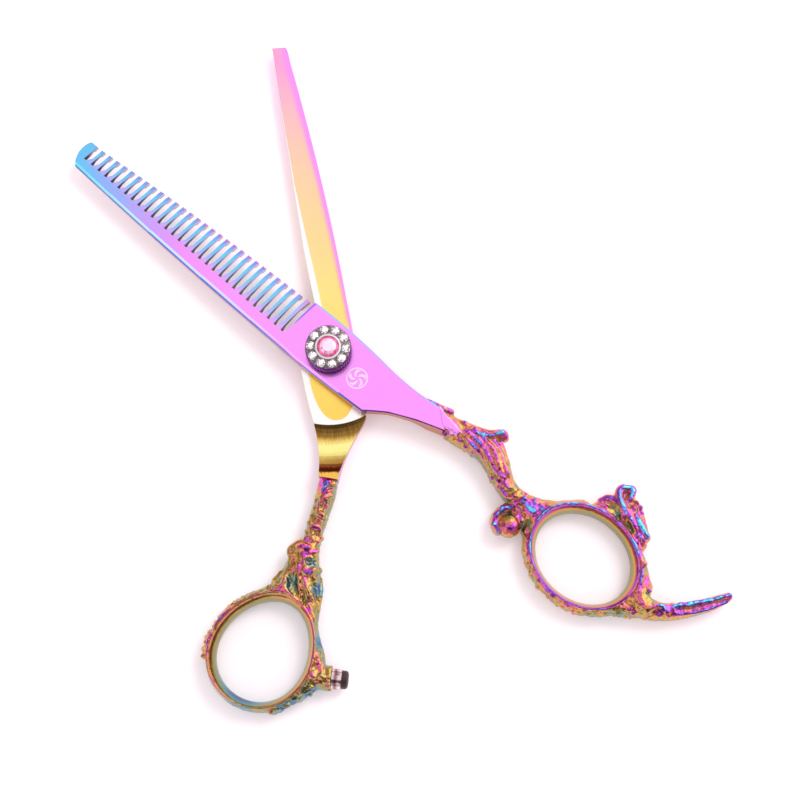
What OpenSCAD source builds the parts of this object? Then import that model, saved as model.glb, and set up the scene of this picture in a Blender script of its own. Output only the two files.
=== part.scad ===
// Thinning shears: a toothed blade and a plain blade on one adjustable pivot, with cast handles.
// Row frame: +Z is the pivot axis, z = 0 is the flat back of the bolt head and of both handles,
// and +Y halves the angle between the blades, towards their tips.
// Each half is drawn in a frame of its own: pivot at the origin, blade along +Y, and z = 0 on
// the plane where the two halves meet. All sizes are in millimetres.

/* [Halves] */
// angle between the two halves in the drawn pose
open_angle = 43.7; // [8:0.1:85]
// thickness of each half beside the pivot
blade_t = 2.8; // [2.4:0.05:3.2]
// half of the gap that the friction washer keeps between the halves
ride_gap = 0.05; // [0.03:0.01:0.1]
// thickness left at the comb blade's tip
comb_tip_t = 1.65; // [1.2:0.05:2.2]
// thickness left at the straight blade's tip
edge_tip_t = 1.6; // [1.2:0.05:2.2]

/* [Comb teeth] */
// slots cut in the comb blade, one for each tooth
tooth_count = 30; // [20:1:34]
// share of the pitch that a slot takes at the tooth tips
slot_share = 0.61; // [0.5:0.01:0.68]
// angle at which the toothed side falls away from the outer face
tooth_fall = 6.5; // [4:0.5:8]
// depth of the small notch in each tooth tip
notch_depth = 0.3; // [0.15:0.05:0.4]

/* [Pivot] */
// diameter of the bolt's plain shank
shank_d = 3.9; // [3.4:0.1:4.1]
// outside diameter of the bushing in the comb blade
bushing_d = 5.9; // [5.4:0.1:6.4]
// side of the bolt's square neck
neck_w = 4.2; // [4.2:0.05:4.4]
// diameter of the bolt head
head_d = 8; // [7.2:0.1:8.6]
// height of the bolt head below the straight blade's back
head_stand = 0.6; // [0.4:0.05:0.8]

/* [Dial] */
// diameter of the knurled dial
dial_d = 10.1; // [9.8:0.1:10.6]
// grooves of the knurl
knurl_count = 44; // [36:1:52]
// small stones round the large one
stone_count = 10; // [8:1:10]
// diameter of a small stone
stone_d = 1.9; // [1.6:0.05:2]
// diameter of the large stone
center_d = 4.7; // [4.2:0.1:4.8]

/* [Handles] */
// width of the finger hole
finger_w = 17.4; // [16:0.1:20]
// length of the finger hole
finger_l = 21.4; // [20:0.1:23]
// width of the thumb hole
thumb_w = 18.2; // [16:0.1:19]
// length of the thumb hole
thumb_l = 21.2; // [20:0.1:22.4]
// width of the metal round each hole
band = 2.6; // [2:0.1:3]

/* [Bumper] */
// diameter of the bumper's metal cup
cup_d = 4.3; // [4:0.1:4.8]
// length of the metal cup
cup_l = 2; // [1.6:0.1:2.2]
// length of the rubber that stands out of the cup
rubber_l = 1.5; // [1.2:0.05:1.6]

/* [Hidden] */
$fn = 48;
eps = 0.01;
head_t = 1.2;
ride_z = blade_t + head_stand;
handle_low = -ride_z;
handle_top = blade_t;
run = 0.05;
ride_r = 15.95;
scoop_r = 22.95;
lip_r = 26.9;
washer_r = 5.5;
washer_t = 0.3;
dial_low = blade_t + 0.5;
dial_top = blade_t + 3.2;
setting_top = dial_top + 0.75;
thread_d = 3.5;
stone_ring_r = 3.85;
stone_z = dial_top + 0.62;
tooth_first = 72.45;
tooth_last = 11.55;
pitch = (tooth_first - tooth_last) / (tooth_count - 1);
finger_mid = [-3.3, -71.05];
thumb_mid = [-23.6, -61.6];
bumper_at = [-10.5, -69.8];
bumper_turn = -15;
stud_d = 2.8;
stud_l = 3;
plug_d = 2.4;

// points of a curve from a to c that is drawn towards b
function bend(a, b, c, n) = [for (i = [0:n]) let(t = i / n)
    (1 - t) * (1 - t) * a + 2 * t * (1 - t) * b + t * t * c];

// the tooth tips lie on a slightly bulging line
function tip_x(y) = 7.36 - 0.0006 * (y - 45) * (y - 45);

// the inner ends of the slots lie on a straight line
function root_x(y) = -2.51 + (y - tooth_last) * 0.0886;

// slots bow towards the pivot as they leave the root
function bow(x) = -0.0098 * (x + 3.3) * (x + 3.3);

function slot_y(i) = tooth_first - pitch * i;

// upper wall of slot i at a given x
function upper_y(i, x) = slot_y(i) + bow(x) - bow(root_x(slot_y(i)));

// width of a slot at a share s of its length: narrow at the root, full from a sixth on
function slot_width(s) = pitch * (s < 0.16 ? 0.31 + 2.25 * s : s < 0.6 ? 0.67 : slot_share);

comb_outline = concat(
    bend([0.4, 73.1], [1.9, 74.2], [3.6, 74.45], 4),
    bend([3.6, 74.45], [6, 74.7], [7.15, 73.75], 4),
    [[7, 72]],
    [for (y = [70:-4.2:11.3]) [tip_x(y), y]],
    [[tip_x(tooth_last), 10], [7.1, 8.7]],
    bend([7.1, 8.7], [6.92, -0.2], [5.5, -10], 8),
    bend([5.5, -10], [4.05, -17.9], [4.3, -23.8], 6),
    [[4.45, -27.3], [0.75, -31.15]],
    bend([0.75, -31.15], [-0.85, -24.2], [-3.45, -18.5], 8),
    bend([-3.45, -18.5], [-5.3, -15.4], [-6.47, -13.75], 4),
    bend([-6.47, -13.75], [-6.4, 2.1], [-5.55, 10.1], 8),
    bend([-5.55, 10.1], [-3.42, 40.5], [0.35, 72.7], 16));

straight_outline = concat(
    bend([-2.75, 75.25], [-2.4, 30.4], [-1.37, 11.9], 10),
    bend([-1.37, 11.9], [-1.9, 7.6], [-4.3, 5.2], 5),
    bend([-4.3, 5.2], [-6.65, 2.8], [-6.72, -2.6], 6),
    bend([-6.72, -2.6], [-6.54, -9], [-5.82, -14.4], 5),
    bend([-5.82, -14.4], [-5.2, -20.75], [-6.5, -27.1], 8),
    [[-2.5, -28.5]],
    bend([-2.5, -28.5], [-0.95, -24], [3.12, -18.85], 7),
    bend([3.12, -18.85], [4.95, -16.9], [5.72, -15.3], 4),
    bend([5.72, -15.3], [6.3, -2], [5.73, 11.8], 8),
    bend([5.73, 11.8], [5.35, 38.4], [1.86, 71], 16),
    bend([1.86, 71], [1.85, 74.3], [1.3, 74.85], 5));

module in_comb_half() {
    rotate([0, 0, open_angle / 2]) translate([0, 0, ride_z]) children();
}

module in_straight_half() {
    rotate([0, 0, -open_angle / 2]) translate([0, 0, ride_z]) children();
}

module slab(points, low, high) {
    translate([0, 0, low]) linear_extrude(high - low) polygon(points);
}

// the space a half leaves for the other one: flat under the ride area, a shallow scoop behind
// it, then a rise to the full thickness of the shank
module ride_space() {
    rotate([0, 0, 180]) rotate_extrude(angle = 180, $fn = 96) polygon(concat(
        [[0, 4], [0, 0]],
        bend([ride_r, 0], [19.5, -0.95], [scoop_r, 0], 8),
        bend([scoop_r, 0], [25.3, 0.6], [lip_r, blade_t], 7),
        [[lip_r, 4]]));
    translate([-20, -1, 0]) cube([40, 85, 4]);
}

// a long cutter whose lower face falls away to its local +X side
module fall_cutter(from, turn, fall, slope) {
    translate(from) rotate([0, 0, turn]) rotate([slope, 0, 0]) rotate([0, fall, 0])
        translate([0, -1.5, 0]) cube([16, 72, 6]);
}

/* ---------- comb blade ---------- */

module tooth_slot(i) {
    root = root_x(slot_y(i));
    reach = 9.5 - root;
    steps = [0, 0.08, 0.16, 0.38, 0.6, 0.8, 1];
    polygon(concat(
        [for (s = steps) [root + s * reach, upper_y(i, root + s * reach)]],
        [for (k = [len(steps) - 1:-1:0]) let(x = root + steps[k] * reach)
            [x, upper_y(i, x) - slot_width(steps[k])]]));
}

module tip_notch(i) {
    x = tip_x(slot_y(i));
    middle = (upper_y(i, x) + upper_y(i - 1, x) - pitch * slot_share) / 2;
    polygon([[x + 0.3, middle - 0.27], [x - notch_depth, middle], [x + 0.3, middle + 0.27]]);
}

// the spine's upper edge, from the pivot to the tip
spine = [[-6.42, -7], [-6.1, 5], [-4.98, 18], [-3.75, 33], [-2.3, 49], [-0.97, 62], [0.5, 74.5]];

function face_z(y) = blade_t - max(0, y - 8) * (blade_t - comb_tip_t) / 65;

// cutter that bevels one straight stretch of the spine
module spine_bevel(from, to) {
    run_y = to[1] - from[1];
    translate([from[0], from[1], face_z(from[1]) - 0.5])
        rotate([0, 0, -atan((to[0] - from[0]) / run_y)])
        rotate([-atan((face_z(from[1]) - face_z(to[1])) / run_y), -32, 0])
        translate([-4, -0.3, 0]) cube([6, run_y + 0.7, 4]);
}

// section across the hollow under the teeth: edges at x = from and x = to
module hollow_section(y, from, to, depth) {
    translate([0, y, 0]) rotate([90, 0, 0]) linear_extrude(eps)
        polygon([[from, -0.1], [from + 1, depth], [to - 0.5, depth], [to, -0.1]]);
}

module comb_blade() color("#d58ae6") in_comb_half() difference() {
    slab(comb_outline, -blade_t, blade_t);
    // space for the other half, below the ride plane
    translate([0, 0, ride_gap]) mirror([0, 0, 1]) ride_space();
    // taper towards the tip
    translate([-20, 8, blade_t]) rotate([-atan((blade_t - comb_tip_t) / 65), 0, 0])
        cube([40, 80, 4]);
    // toothed side falls away from the outer face
    fall_cutter([root_x(12), 12, blade_t - 0.05], -5.06, tooth_fall, -1.0);
    for (k = [0:len(spine) - 2]) spine_bevel(spine[k], spine[k + 1]);
    // hollow under the teeth, which leaves a flat strip along their tips
    hull() {
        hollow_section(11, -2, 6.1, 0.95);
        hollow_section(72.2, 3.2, 6.1, 0.6);
    }
    for (i = [0:tooth_count - 1])
        translate([0, 0, -eps]) linear_extrude(blade_t + 1) tooth_slot(i);
    for (i = [1:tooth_count - 1])
        translate([0, 0, -eps]) linear_extrude(blade_t + 1) tip_notch(i);
    // bore for the bushing and seat for the friction washer
    translate([0, 0, -1]) cylinder(d = bushing_d, h = blade_t + 2);
    translate([0, 0, -1]) cylinder(r = washer_r + 0.1, h = 1 + washer_t - 0.02);
    // socket for the handle's spigot
    translate([2.6, -34, -0.3]) rotate([-90, 0, 0]) cylinder(d = 2.2, h = 7);
}

/* ---------- straight blade ---------- */

half_moon = concat(
    [[-5.3, -2.5]],
    bend([-5.3, -4.2], [-5.1, -14.95], [-0.35, -14.95], 8),
    bend([-0.35, -14.95], [4.4, -14.95], [4.7, -4.2], 8),
    [[4.7, -2.5]]);

module straight_blade() color("#f3cf72") in_straight_half() difference() {
    slab(straight_outline, -blade_t, blade_t);
    // space for the other half, above the ride plane
    translate([0, 0, -ride_gap]) ride_space();
    // outer face falls from the spine to the cutting edge
    translate([2.2, 10, -blade_t]) rotate([0, 0, 1.5]) rotate([1.05, 0, 0]) rotate([0, 33.5, 0])
        translate([-9, 0, -6]) cube([9, 70, 6]);
    // taper towards the tip
    translate([-20, 8, -blade_t]) rotate([atan((blade_t - edge_tip_t) / 66), 0, 0])
        translate([0, 0, -4]) cube([40, 80, 4]);
    // hollow-ground inner face
    translate([2.55, 12, 29.85]) rotate([-90, 0, 2.5]) cylinder(r = 30, h = 70, $fn = 96);
    // shallow half moon inside the ride ring
    difference() {
        slab(half_moon, -ride_gap - 0.12, 1);
        translate([0, 0, -1]) cylinder(r = 6.6, h = 3);
    }
    // square hole and counterbore for the bolt
    translate([-neck_w / 2 - run, -neck_w / 2 - run, -blade_t - 1])
        cube([neck_w + 2 * run, neck_w + 2 * run, blade_t + 2]);
    translate([0, 0, -blade_t - 1]) cylinder(d = head_d + 0.2, h = 1 + head_t - head_stand);
    // socket for the handle's spigot
    translate([-5.1, -33, -0.3]) rotate([-90, 0, 0]) cylinder(d = 2.2, h = 7);
}

/* ---------- handles ---------- */

// a rounded band round an oval hole
module oval_ring(width, length) {
    scale([1, length / width, 1]) rotate_extrude($fn = 96) translate([width / 2, -0.3])
        polygon([[0.95, -3.1], [0.3, -2.1], [0, 0], [0.3, 2.1], [0.95, 3.1], [band - 0.7, 3.1],
                 [band, 2.2], [band, -2.2], [band - 0.7, -3.1]]);
}

module oval_hole(width, length) {
    scale([1, length / width, 1]) translate([0, 0, -6]) cylinder(d = width + 1, h = 12, $fn = 96);
}

finger_stem = concat(
    [[0.75, -31.15], [4.45, -27.3]],
    bend([4.7, -28.2], [6.2, -31.2], [5.2, -33.2], 4),
    bend([6.3, -35], [6.6, -38.4], [8.1, -39.3], 4),
    bend([9.1, -40.6], [9.6, -42.8], [7.6, -43], 4),
    bend([6, -43.4], [3.8, -45.6], [1.6, -49.4], 5),
    bend([0.9, -51.5], [0.9, -56], [3.7, -60.9], 5),
    [[3, -63.5], [-8.6, -63.5], [-8.4, -58.8]],
    bend([-8, -57], [-3.4, -53], [-3.4, -49.2], 4),
    bend([-2.4, -47], [-0.6, -43.6], [0.2, -41.6], 4),
    [[0.2, -39.3], [-0.1, -36], [0.5, -32.6]]);

finger_head = [[9.3, -67.3], [10.9, -67.8], [12, -68.3], [13.5, -68], [15, -68.9], [16, -71], [15.4, -71.8],
    [13.6, -71.6], [13.7, -74.2], [12.8, -75.4], [8.7, -80.3], [6.8, -80.2], [7.6, -74]];

finger_rest = concat(
    bend([2.3, -82.6], [-1.8, -87.3], [1, -92.4], 6),
    bend([2.8, -94.6], [5.6, -98], [9.7, -100.2], 6),
    bend([9.9, -101.6], [5.6, -101.2], [0.3, -96.5], 6),
    bend([-1.5, -95], [-4.6, -90.2], [-9.6, -81.6], 6));

module finger_handle() color("#b96fb8") in_comb_half() difference() {
    union() {
        slab(finger_stem, handle_low + 0.3, handle_top - 0.1);
        translate([finger_mid[0], finger_mid[1], 0]) rotate([0, 0, -2.8])
            oval_ring(finger_w, finger_l);
        slab(finger_head, handle_low + 0.6, handle_top - 0.2);
        slab(finger_rest, handle_low + 1, handle_top - 0.8);
        // curl beside the neck
        translate([-6.6, -53.4, handle_low + 0.4]) cylinder(r = 3.5, h = 5.4);
        translate([-6.7, -54, 0.6]) sphere(r = 2.8);
        // spigot in the blade
        translate([2.6, -34, -0.3]) rotate([-90, 0, 0]) cylinder(d = 2.2, h = 6.8);
    }
    translate([finger_mid[0], finger_mid[1], 0]) rotate([0, 0, -2.8])
        difference() {
            oval_hole(finger_w, finger_l);
            oval_ring(finger_w, finger_l);
        }
}

thumb_stem = concat(
    [[-2.5, -28.5], [-6.5, -27.1]],
    bend([-6.9, -28.2], [-9.9, -34.5], [-10.8, -37], 5),
    bend([-11.6, -37.6], [-12, -39], [-12.2, -40.2], 3),
    bend([-14, -40.4], [-16.4, -41.4], [-15.5, -42.9], 4),
    bend([-15.7, -44], [-17.6, -46.8], [-22.8, -48.9], 5),
    [[-26, -50.8], [-14.4, -63], [-12.4, -61.4]],
    bend([-12.3, -59.9], [-10.8, -55], [-9.6, -49.5], 4),
    bend([-8.9, -47.2], [-9.1, -45], [-9.2, -42.8], 3),
    bend([-8.3, -40.6], [-8, -37.6], [-5.8, -34], 4),
    [[-3.9, -31]]);

boss_web = [[-13.6, -59.5], [-12, -63], [-10.2, -66.9], [-12, -72.2], [-18.6, -73.6], [-16, -68]];

module at_bumper() {
    translate([bumper_at[0], bumper_at[1], -0.3]) rotate([0, 0, bumper_turn])
        rotate([0, 90, 0]) children();
}

module thumb_handle() color("#9a9a55") in_straight_half() difference() {
    union() {
        slab(thumb_stem, handle_low + 0.3, handle_top - 0.1);
        translate([thumb_mid[0], thumb_mid[1], 0]) rotate([0, 0, -40])
            oval_ring(thumb_w, thumb_l);
        slab(boss_web, handle_low + 1, handle_top - 1.1);
        at_bumper() translate([0, 0, -5]) cylinder(r1 = 3, r2 = 2.8, h = 5);
        // spigot in the blade
        translate([-5.1, -33, -0.3]) rotate([-90, 0, 0]) cylinder(d = 2.2, h = 6.8);
    }
    translate([thumb_mid[0], thumb_mid[1], 0]) rotate([0, 0, -40])
        difference() {
            oval_hole(thumb_w, thumb_l);
            oval_ring(thumb_w, thumb_l);
        }
    // threaded hole for the bumper's stud
    at_bumper() translate([0, 0, -stud_l - 0.2]) cylinder(d = stud_d + 2 * run, h = stud_l + 1);
}

/* ---------- pivot ---------- */

module pivot_bolt() color("#c9c9cc") translate([0, 0, ride_z]) rotate([0, 0, -open_angle / 2]) {
    translate([0, 0, -ride_z]) cylinder(d = head_d, h = head_t - 0.05);
    translate([-neck_w / 2, -neck_w / 2, -ride_z + head_t - 0.1])
        cube([neck_w, neck_w, ride_z - head_t - 0.2]);
    translate([0, 0, -0.35]) cylinder(d = shank_d, h = dial_low + 0.35);
    translate([0, 0, dial_low - 0.05]) cylinder(d = thread_d, h = dial_top - dial_low);
}

module tube(d_out, d_in, low, high) {
    translate([0, 0, low]) difference() {
        cylinder(d = d_out, h = high - low);
        translate([0, 0, -1]) cylinder(d = d_in, h = high - low + 2);
    }
}

module pivot_bushing() color("#b08a4a") translate([0, 0, ride_z])
    tube(bushing_d, shank_d + 2 * run, ride_gap + washer_t, blade_t - 0.03);

module friction_washer() color("#e8e4d8") translate([0, 0, ride_z])
    tube(2 * washer_r, shank_d + 2 * run, -ride_gap + 0.01, ride_gap + washer_t - 0.08);

module thrust_washer() color("#8d8f94") translate([0, 0, ride_z])
    tube(8.8, shank_d + 2 * run, blade_t + 0.02, blade_t + 0.4);

module click_spring() color("#a9acb2") translate([0, 0, ride_z + blade_t])
    rotate_extrude() polygon([[2.15, 1.0], [3.9, 0.42], [3.98, 0.56], [2.2, 1.16]]);

module tension_dial() color("#5a1f5e") translate([0, 0, ride_z]) difference() {
    translate([0, 0, dial_low]) cylinder(d = dial_d, h = dial_top - dial_low);
    translate([0, 0, dial_low - 1]) cylinder(d = thread_d + 2 * run, h = 6);
    // pocket for the spring
    translate([0, 0, dial_low - 1]) cylinder(d = 8.2, h = 1.75);
    for (i = [0:knurl_count - 1]) rotate([0, 0, i * 360 / knurl_count])
        translate([dial_d / 2 + 0.06, 0, dial_low - 0.5]) cylinder(r = 0.2, h = dial_top - dial_low + 1, $fn = 16);
}

module stone(d, high, deep) {
    cylinder(d1 = d, d2 = d * 0.56, h = high);
    translate([0, 0, -deep]) cylinder(d1 = d * 0.2, d2 = d, h = deep);
}

module seat(d, deep) {
    translate([0, 0, -deep]) cylinder(d1 = d * 0.2, d2 = d, h = deep);
    cylinder(d = d, h = 2);
}

module round_stones() {
    for (i = [0:stone_count - 1])
        rotate([0, 0, i * 360 / stone_count]) translate([stone_ring_r, 0, 0]) children();
}

module stone_setting() color("#d9d9de") translate([0, 0, ride_z]) difference() {
    rotate_extrude($fn = 96) polygon(concat(
        [[0, dial_top]],
        [[dial_d / 2 - 0.15, dial_top], [dial_d / 2 - 0.15, dial_top + 0.3]],
        bend([dial_d / 2 - 0.35, dial_top + 0.5], [2.9, setting_top + 0.1], [2.4, setting_top + 0.15], 4),
        [[0, setting_top + 0.15]]));
    translate([0, 0, setting_top - 0.02]) seat(center_d, 0.6);
    translate([0, 0, stone_z]) round_stones() seat(stone_d, 0.42);
}

module center_stone() color("#ff7fc4") translate([0, 0, ride_z + setting_top - 0.02])
    stone(center_d, 0.7, 0.6);

module ring_stones() color("#f2f4f8") translate([0, 0, ride_z + stone_z])
    round_stones() stone(stone_d, 0.34, 0.42);

/* ---------- bumper ---------- */

module bumper_ferrule() color("#d8c4c4") in_straight_half() at_bumper() difference() {
    union() {
        translate([0, 0, -stud_l]) cylinder(d = stud_d, h = stud_l + 0.2);
        translate([0, 0, 0.1]) cylinder(d = cup_d, h = cup_l);
    }
    translate([0, 0, cup_l - 1.1]) cylinder(d = plug_d, h = 3);
}

module bumper_tip() color("#2b1d1c") in_straight_half() at_bumper() union() {
    translate([0, 0, cup_l - 1.1]) cylinder(d = plug_d, h = 1.3);
    translate([0, 0, cup_l + 0.1]) rotate_extrude() polygon(concat(
        [[0, 0], [1.95, 0], [1.95, rubber_l * 0.45]],
        bend([1.9, rubber_l * 0.7], [1.7, rubber_l], [0.9, rubber_l], 4),
        [[0, rubber_l]]));
}

comb_blade();
finger_handle();
straight_blade();
thumb_handle();
pivot_bolt();
pivot_bushing();
friction_washer();
thrust_washer();
click_spring();
tension_dial();
stone_setting();
center_stone();
ring_stones();
bumper_ferrule();
bumper_tip();
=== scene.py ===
"""Looks for a pair of thinning shears: two iridescent blades, two cast handles and a jewelled dial.

The blades, the pivot hardware and the bumper are the CAD's own solids with new materials. The two handles
are sculpted here as distance fields in millimetres of each half's own frame (blade along +Y, z = 0 where
the halves meet), and the stones are cut here as faceted gems.
"""
import math

import bpy
import numpy as np
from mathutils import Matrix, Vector


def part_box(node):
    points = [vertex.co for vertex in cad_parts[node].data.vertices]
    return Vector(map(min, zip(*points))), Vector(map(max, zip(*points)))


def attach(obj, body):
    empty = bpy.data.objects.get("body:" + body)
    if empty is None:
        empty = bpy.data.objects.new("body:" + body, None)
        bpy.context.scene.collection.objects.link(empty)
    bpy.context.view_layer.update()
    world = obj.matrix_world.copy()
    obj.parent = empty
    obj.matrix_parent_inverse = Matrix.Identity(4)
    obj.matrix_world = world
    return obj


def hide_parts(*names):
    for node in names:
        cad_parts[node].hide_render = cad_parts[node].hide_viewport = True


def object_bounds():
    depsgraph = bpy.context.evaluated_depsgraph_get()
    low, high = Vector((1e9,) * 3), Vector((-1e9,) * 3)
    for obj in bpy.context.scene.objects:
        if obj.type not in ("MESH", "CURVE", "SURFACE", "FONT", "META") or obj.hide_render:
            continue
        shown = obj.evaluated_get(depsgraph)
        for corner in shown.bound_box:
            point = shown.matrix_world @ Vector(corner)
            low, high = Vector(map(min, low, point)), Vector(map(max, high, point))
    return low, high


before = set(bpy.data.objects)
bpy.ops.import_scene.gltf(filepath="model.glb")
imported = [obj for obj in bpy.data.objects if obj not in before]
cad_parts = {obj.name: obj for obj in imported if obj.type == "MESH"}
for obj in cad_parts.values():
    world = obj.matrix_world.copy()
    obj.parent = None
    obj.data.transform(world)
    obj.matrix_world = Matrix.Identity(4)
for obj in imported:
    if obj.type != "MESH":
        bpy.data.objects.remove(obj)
cad_low, cad_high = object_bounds()

MM = 0.001
# how far each half's own frame is turned about the pivot, at rest
COMB = math.radians(21.85)
STRAIGHT = -COMB
# the height where the halves meet, a little above the friction washer's underside
WASHER_SINK = 0.04
RIDE_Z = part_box("friction_washer")[0].z / MM + WASHER_SINK
# the castings' underside, top and middle plane in that frame
LOW, HIGH, MIDDLE = -3.4, 2.9, -0.3
# cell sizes of the castings' grids, which keep each mesh under 200,000 triangles
FINGER_CELL = 0.195
THUMB_CELL = 0.165
# how far the bumper's axis is turned from the thumb half's x axis
BUMPER_TURN = math.radians(-15)
# radius of the circle on which the dial's ten small stones sit
SEAT_CIRCLE = 3.85


# ---------- shader helpers ----------

def linear(code):
    """Linear light from a display colour written as #rrggbb."""
    shares = [int(code[i:i + 2], 16) / 255 for i in (1, 3, 5)]
    return (*[v / 12.92 if v <= 0.04045 else ((v + 0.055) / 1.055) ** 2.4 for v in shares], 1.0)


class Value:
    """A shader socket that can be added, multiplied and compared like a number."""

    def __init__(self, shader, socket):
        self.shader, self.socket = shader, socket

    def __add__(self, other):
        return self.shader.math("ADD", self, other)

    def __sub__(self, other):
        return self.shader.math("SUBTRACT", self, other)

    def __rsub__(self, other):
        return self.shader.math("SUBTRACT", other, self)

    def __mul__(self, other):
        return self.shader.math("MULTIPLY", self, other)

    def __truediv__(self, other):
        return self.shader.math("DIVIDE", self, other)

    def over(self, low, high):
        """0 below low, 1 above high, smooth between."""
        return self.shader.step(self, low, high)

    __radd__ = __add__
    __rmul__ = __mul__


class Shader:
    """A node material with short names for what the finishes here need."""

    def __init__(self, name):
        self.material = bpy.data.materials.new(name)
        self.material.use_nodes = True
        self.tree = self.material.node_tree
        self.principled = self.tree.nodes["Principled BSDF"]

    def node(self, kind, **settings):
        made = self.tree.nodes.new(kind)
        for key, value in settings.items():
            setattr(made, key, value)
        return made

    def plug(self, socket, value):
        if isinstance(value, Value):
            self.tree.links.new(value.socket, socket)
        elif isinstance(value, bpy.types.NodeSocket):
            self.tree.links.new(value, socket)
        else:
            socket.default_value = linear(value) if isinstance(value, str) else value

    def set(self, **inputs):
        for key, value in inputs.items():
            self.plug(self.principled.inputs[key.replace("_", " ")], value)

    def math(self, operation, first, second=0.0):
        made = self.node("ShaderNodeMath", operation=operation)
        self.plug(made.inputs[0], first)
        self.plug(made.inputs[1], second)
        return Value(self, made.outputs[0])

    def step(self, value, low, high):
        made = self.node("ShaderNodeMapRange", interpolation_type="SMOOTHSTEP")
        self.plug(made.inputs["Value"], value)
        self.plug(made.inputs["From Min"], low)
        self.plug(made.inputs["From Max"], high)
        return Value(self, made.outputs["Result"])

    def length(self, x, y):
        return self.math("SQRT", x * x + y * y)

    def ramp(self, value, stops):
        """A colour for a value: stops are (value, colour), in rising order."""
        low, high = stops[0][0], stops[-1][0]
        made = self.node("ShaderNodeValToRGB")
        self.plug(made.inputs["Fac"], (value - low) / (high - low))
        elements = made.color_ramp.elements
        while len(elements) < len(stops):
            elements.new(0.5)
        for element, (place, colour) in zip(elements, stops):
            element.position = (place - low) / (high - low)
            element.color = linear(colour)
        return made.outputs["Color"]

    def ramp_value(self, value, stops):
        """A plain number for a value, in straight pieces between the stops."""
        result = stops[0][1]
        for (low, first), (high, last) in zip(stops, stops[1:]):
            made = self.node("ShaderNodeMapRange")
            self.plug(made.inputs["Value"], value)
            numbers = (low, high, 0.0, last - first)
            for key, number in zip(("From Min", "From Max", "To Min", "To Max"), numbers):
                made.inputs[key].default_value = number
            result = Value(self, made.outputs["Result"]) + result
        return result

    def mix(self, share, first, second):
        made = self.node("ShaderNodeMix", data_type="RGBA")
        self.plug(made.inputs["Factor"], share)
        self.plug(made.inputs["A"], first)
        self.plug(made.inputs["B"], second)
        return made.outputs["Result"]

    def half_frame(self, turn):
        """x, y and z in millimetres in the frame of one half, and the unit normal there."""
        place = self.node("ShaderNodeTexCoord")
        results = []
        for output in ("Object", "Normal"):
            spin = self.node("ShaderNodeVectorRotate", rotation_type="Z_AXIS", invert=True)
            spin.inputs["Angle"].default_value = turn
            self.plug(spin.inputs["Vector"], place.outputs[output])
            split = self.node("ShaderNodeSeparateXYZ")
            self.plug(split.inputs[0], spin.outputs[0])
            results.append([Value(self, out) for out in split.outputs])
        x, y, z = [value / MM for value in results[0]]
        return x, y, z - RIDE_Z, results[1]

    def vector(self, x, y, z=0.0):
        made = self.node("ShaderNodeCombineXYZ")
        for socket, value in zip(made.inputs, (x, y, z)):
            self.plug(socket, value)
        return made.outputs[0]

    def attribute(self, name):
        """A number stored on the mesh's vertices."""
        return Value(self, self.node("ShaderNodeAttribute", attribute_name=name).outputs["Fac"])

    def noise(self, place, scale, detail=2.0, roughness=0.5):
        made = self.node("ShaderNodeTexNoise")
        self.plug(made.inputs["Vector"], place)
        made.inputs["Scale"].default_value = scale
        made.inputs["Detail"].default_value = detail
        made.inputs["Roughness"].default_value = roughness
        return Value(self, made.outputs["Fac"])

    def grain(self, scale):
        """Fine noise through the metres of the object's own space."""
        return self.noise(self.node("ShaderNodeTexCoord").outputs["Object"], scale)

    def bump(self, height, distance):
        made = self.node("ShaderNodeBump")
        made.inputs["Distance"].default_value = distance * MM
        self.plug(made.inputs["Height"], height)
        self.plug(self.principled.inputs["Normal"], made.outputs["Normal"])


def finish_node(name, shader):
    """Gives a CAD node its material."""
    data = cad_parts[name].data
    data.materials.clear()
    data.materials.append(shader.material)


# ---------- blade finishes ----------

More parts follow.
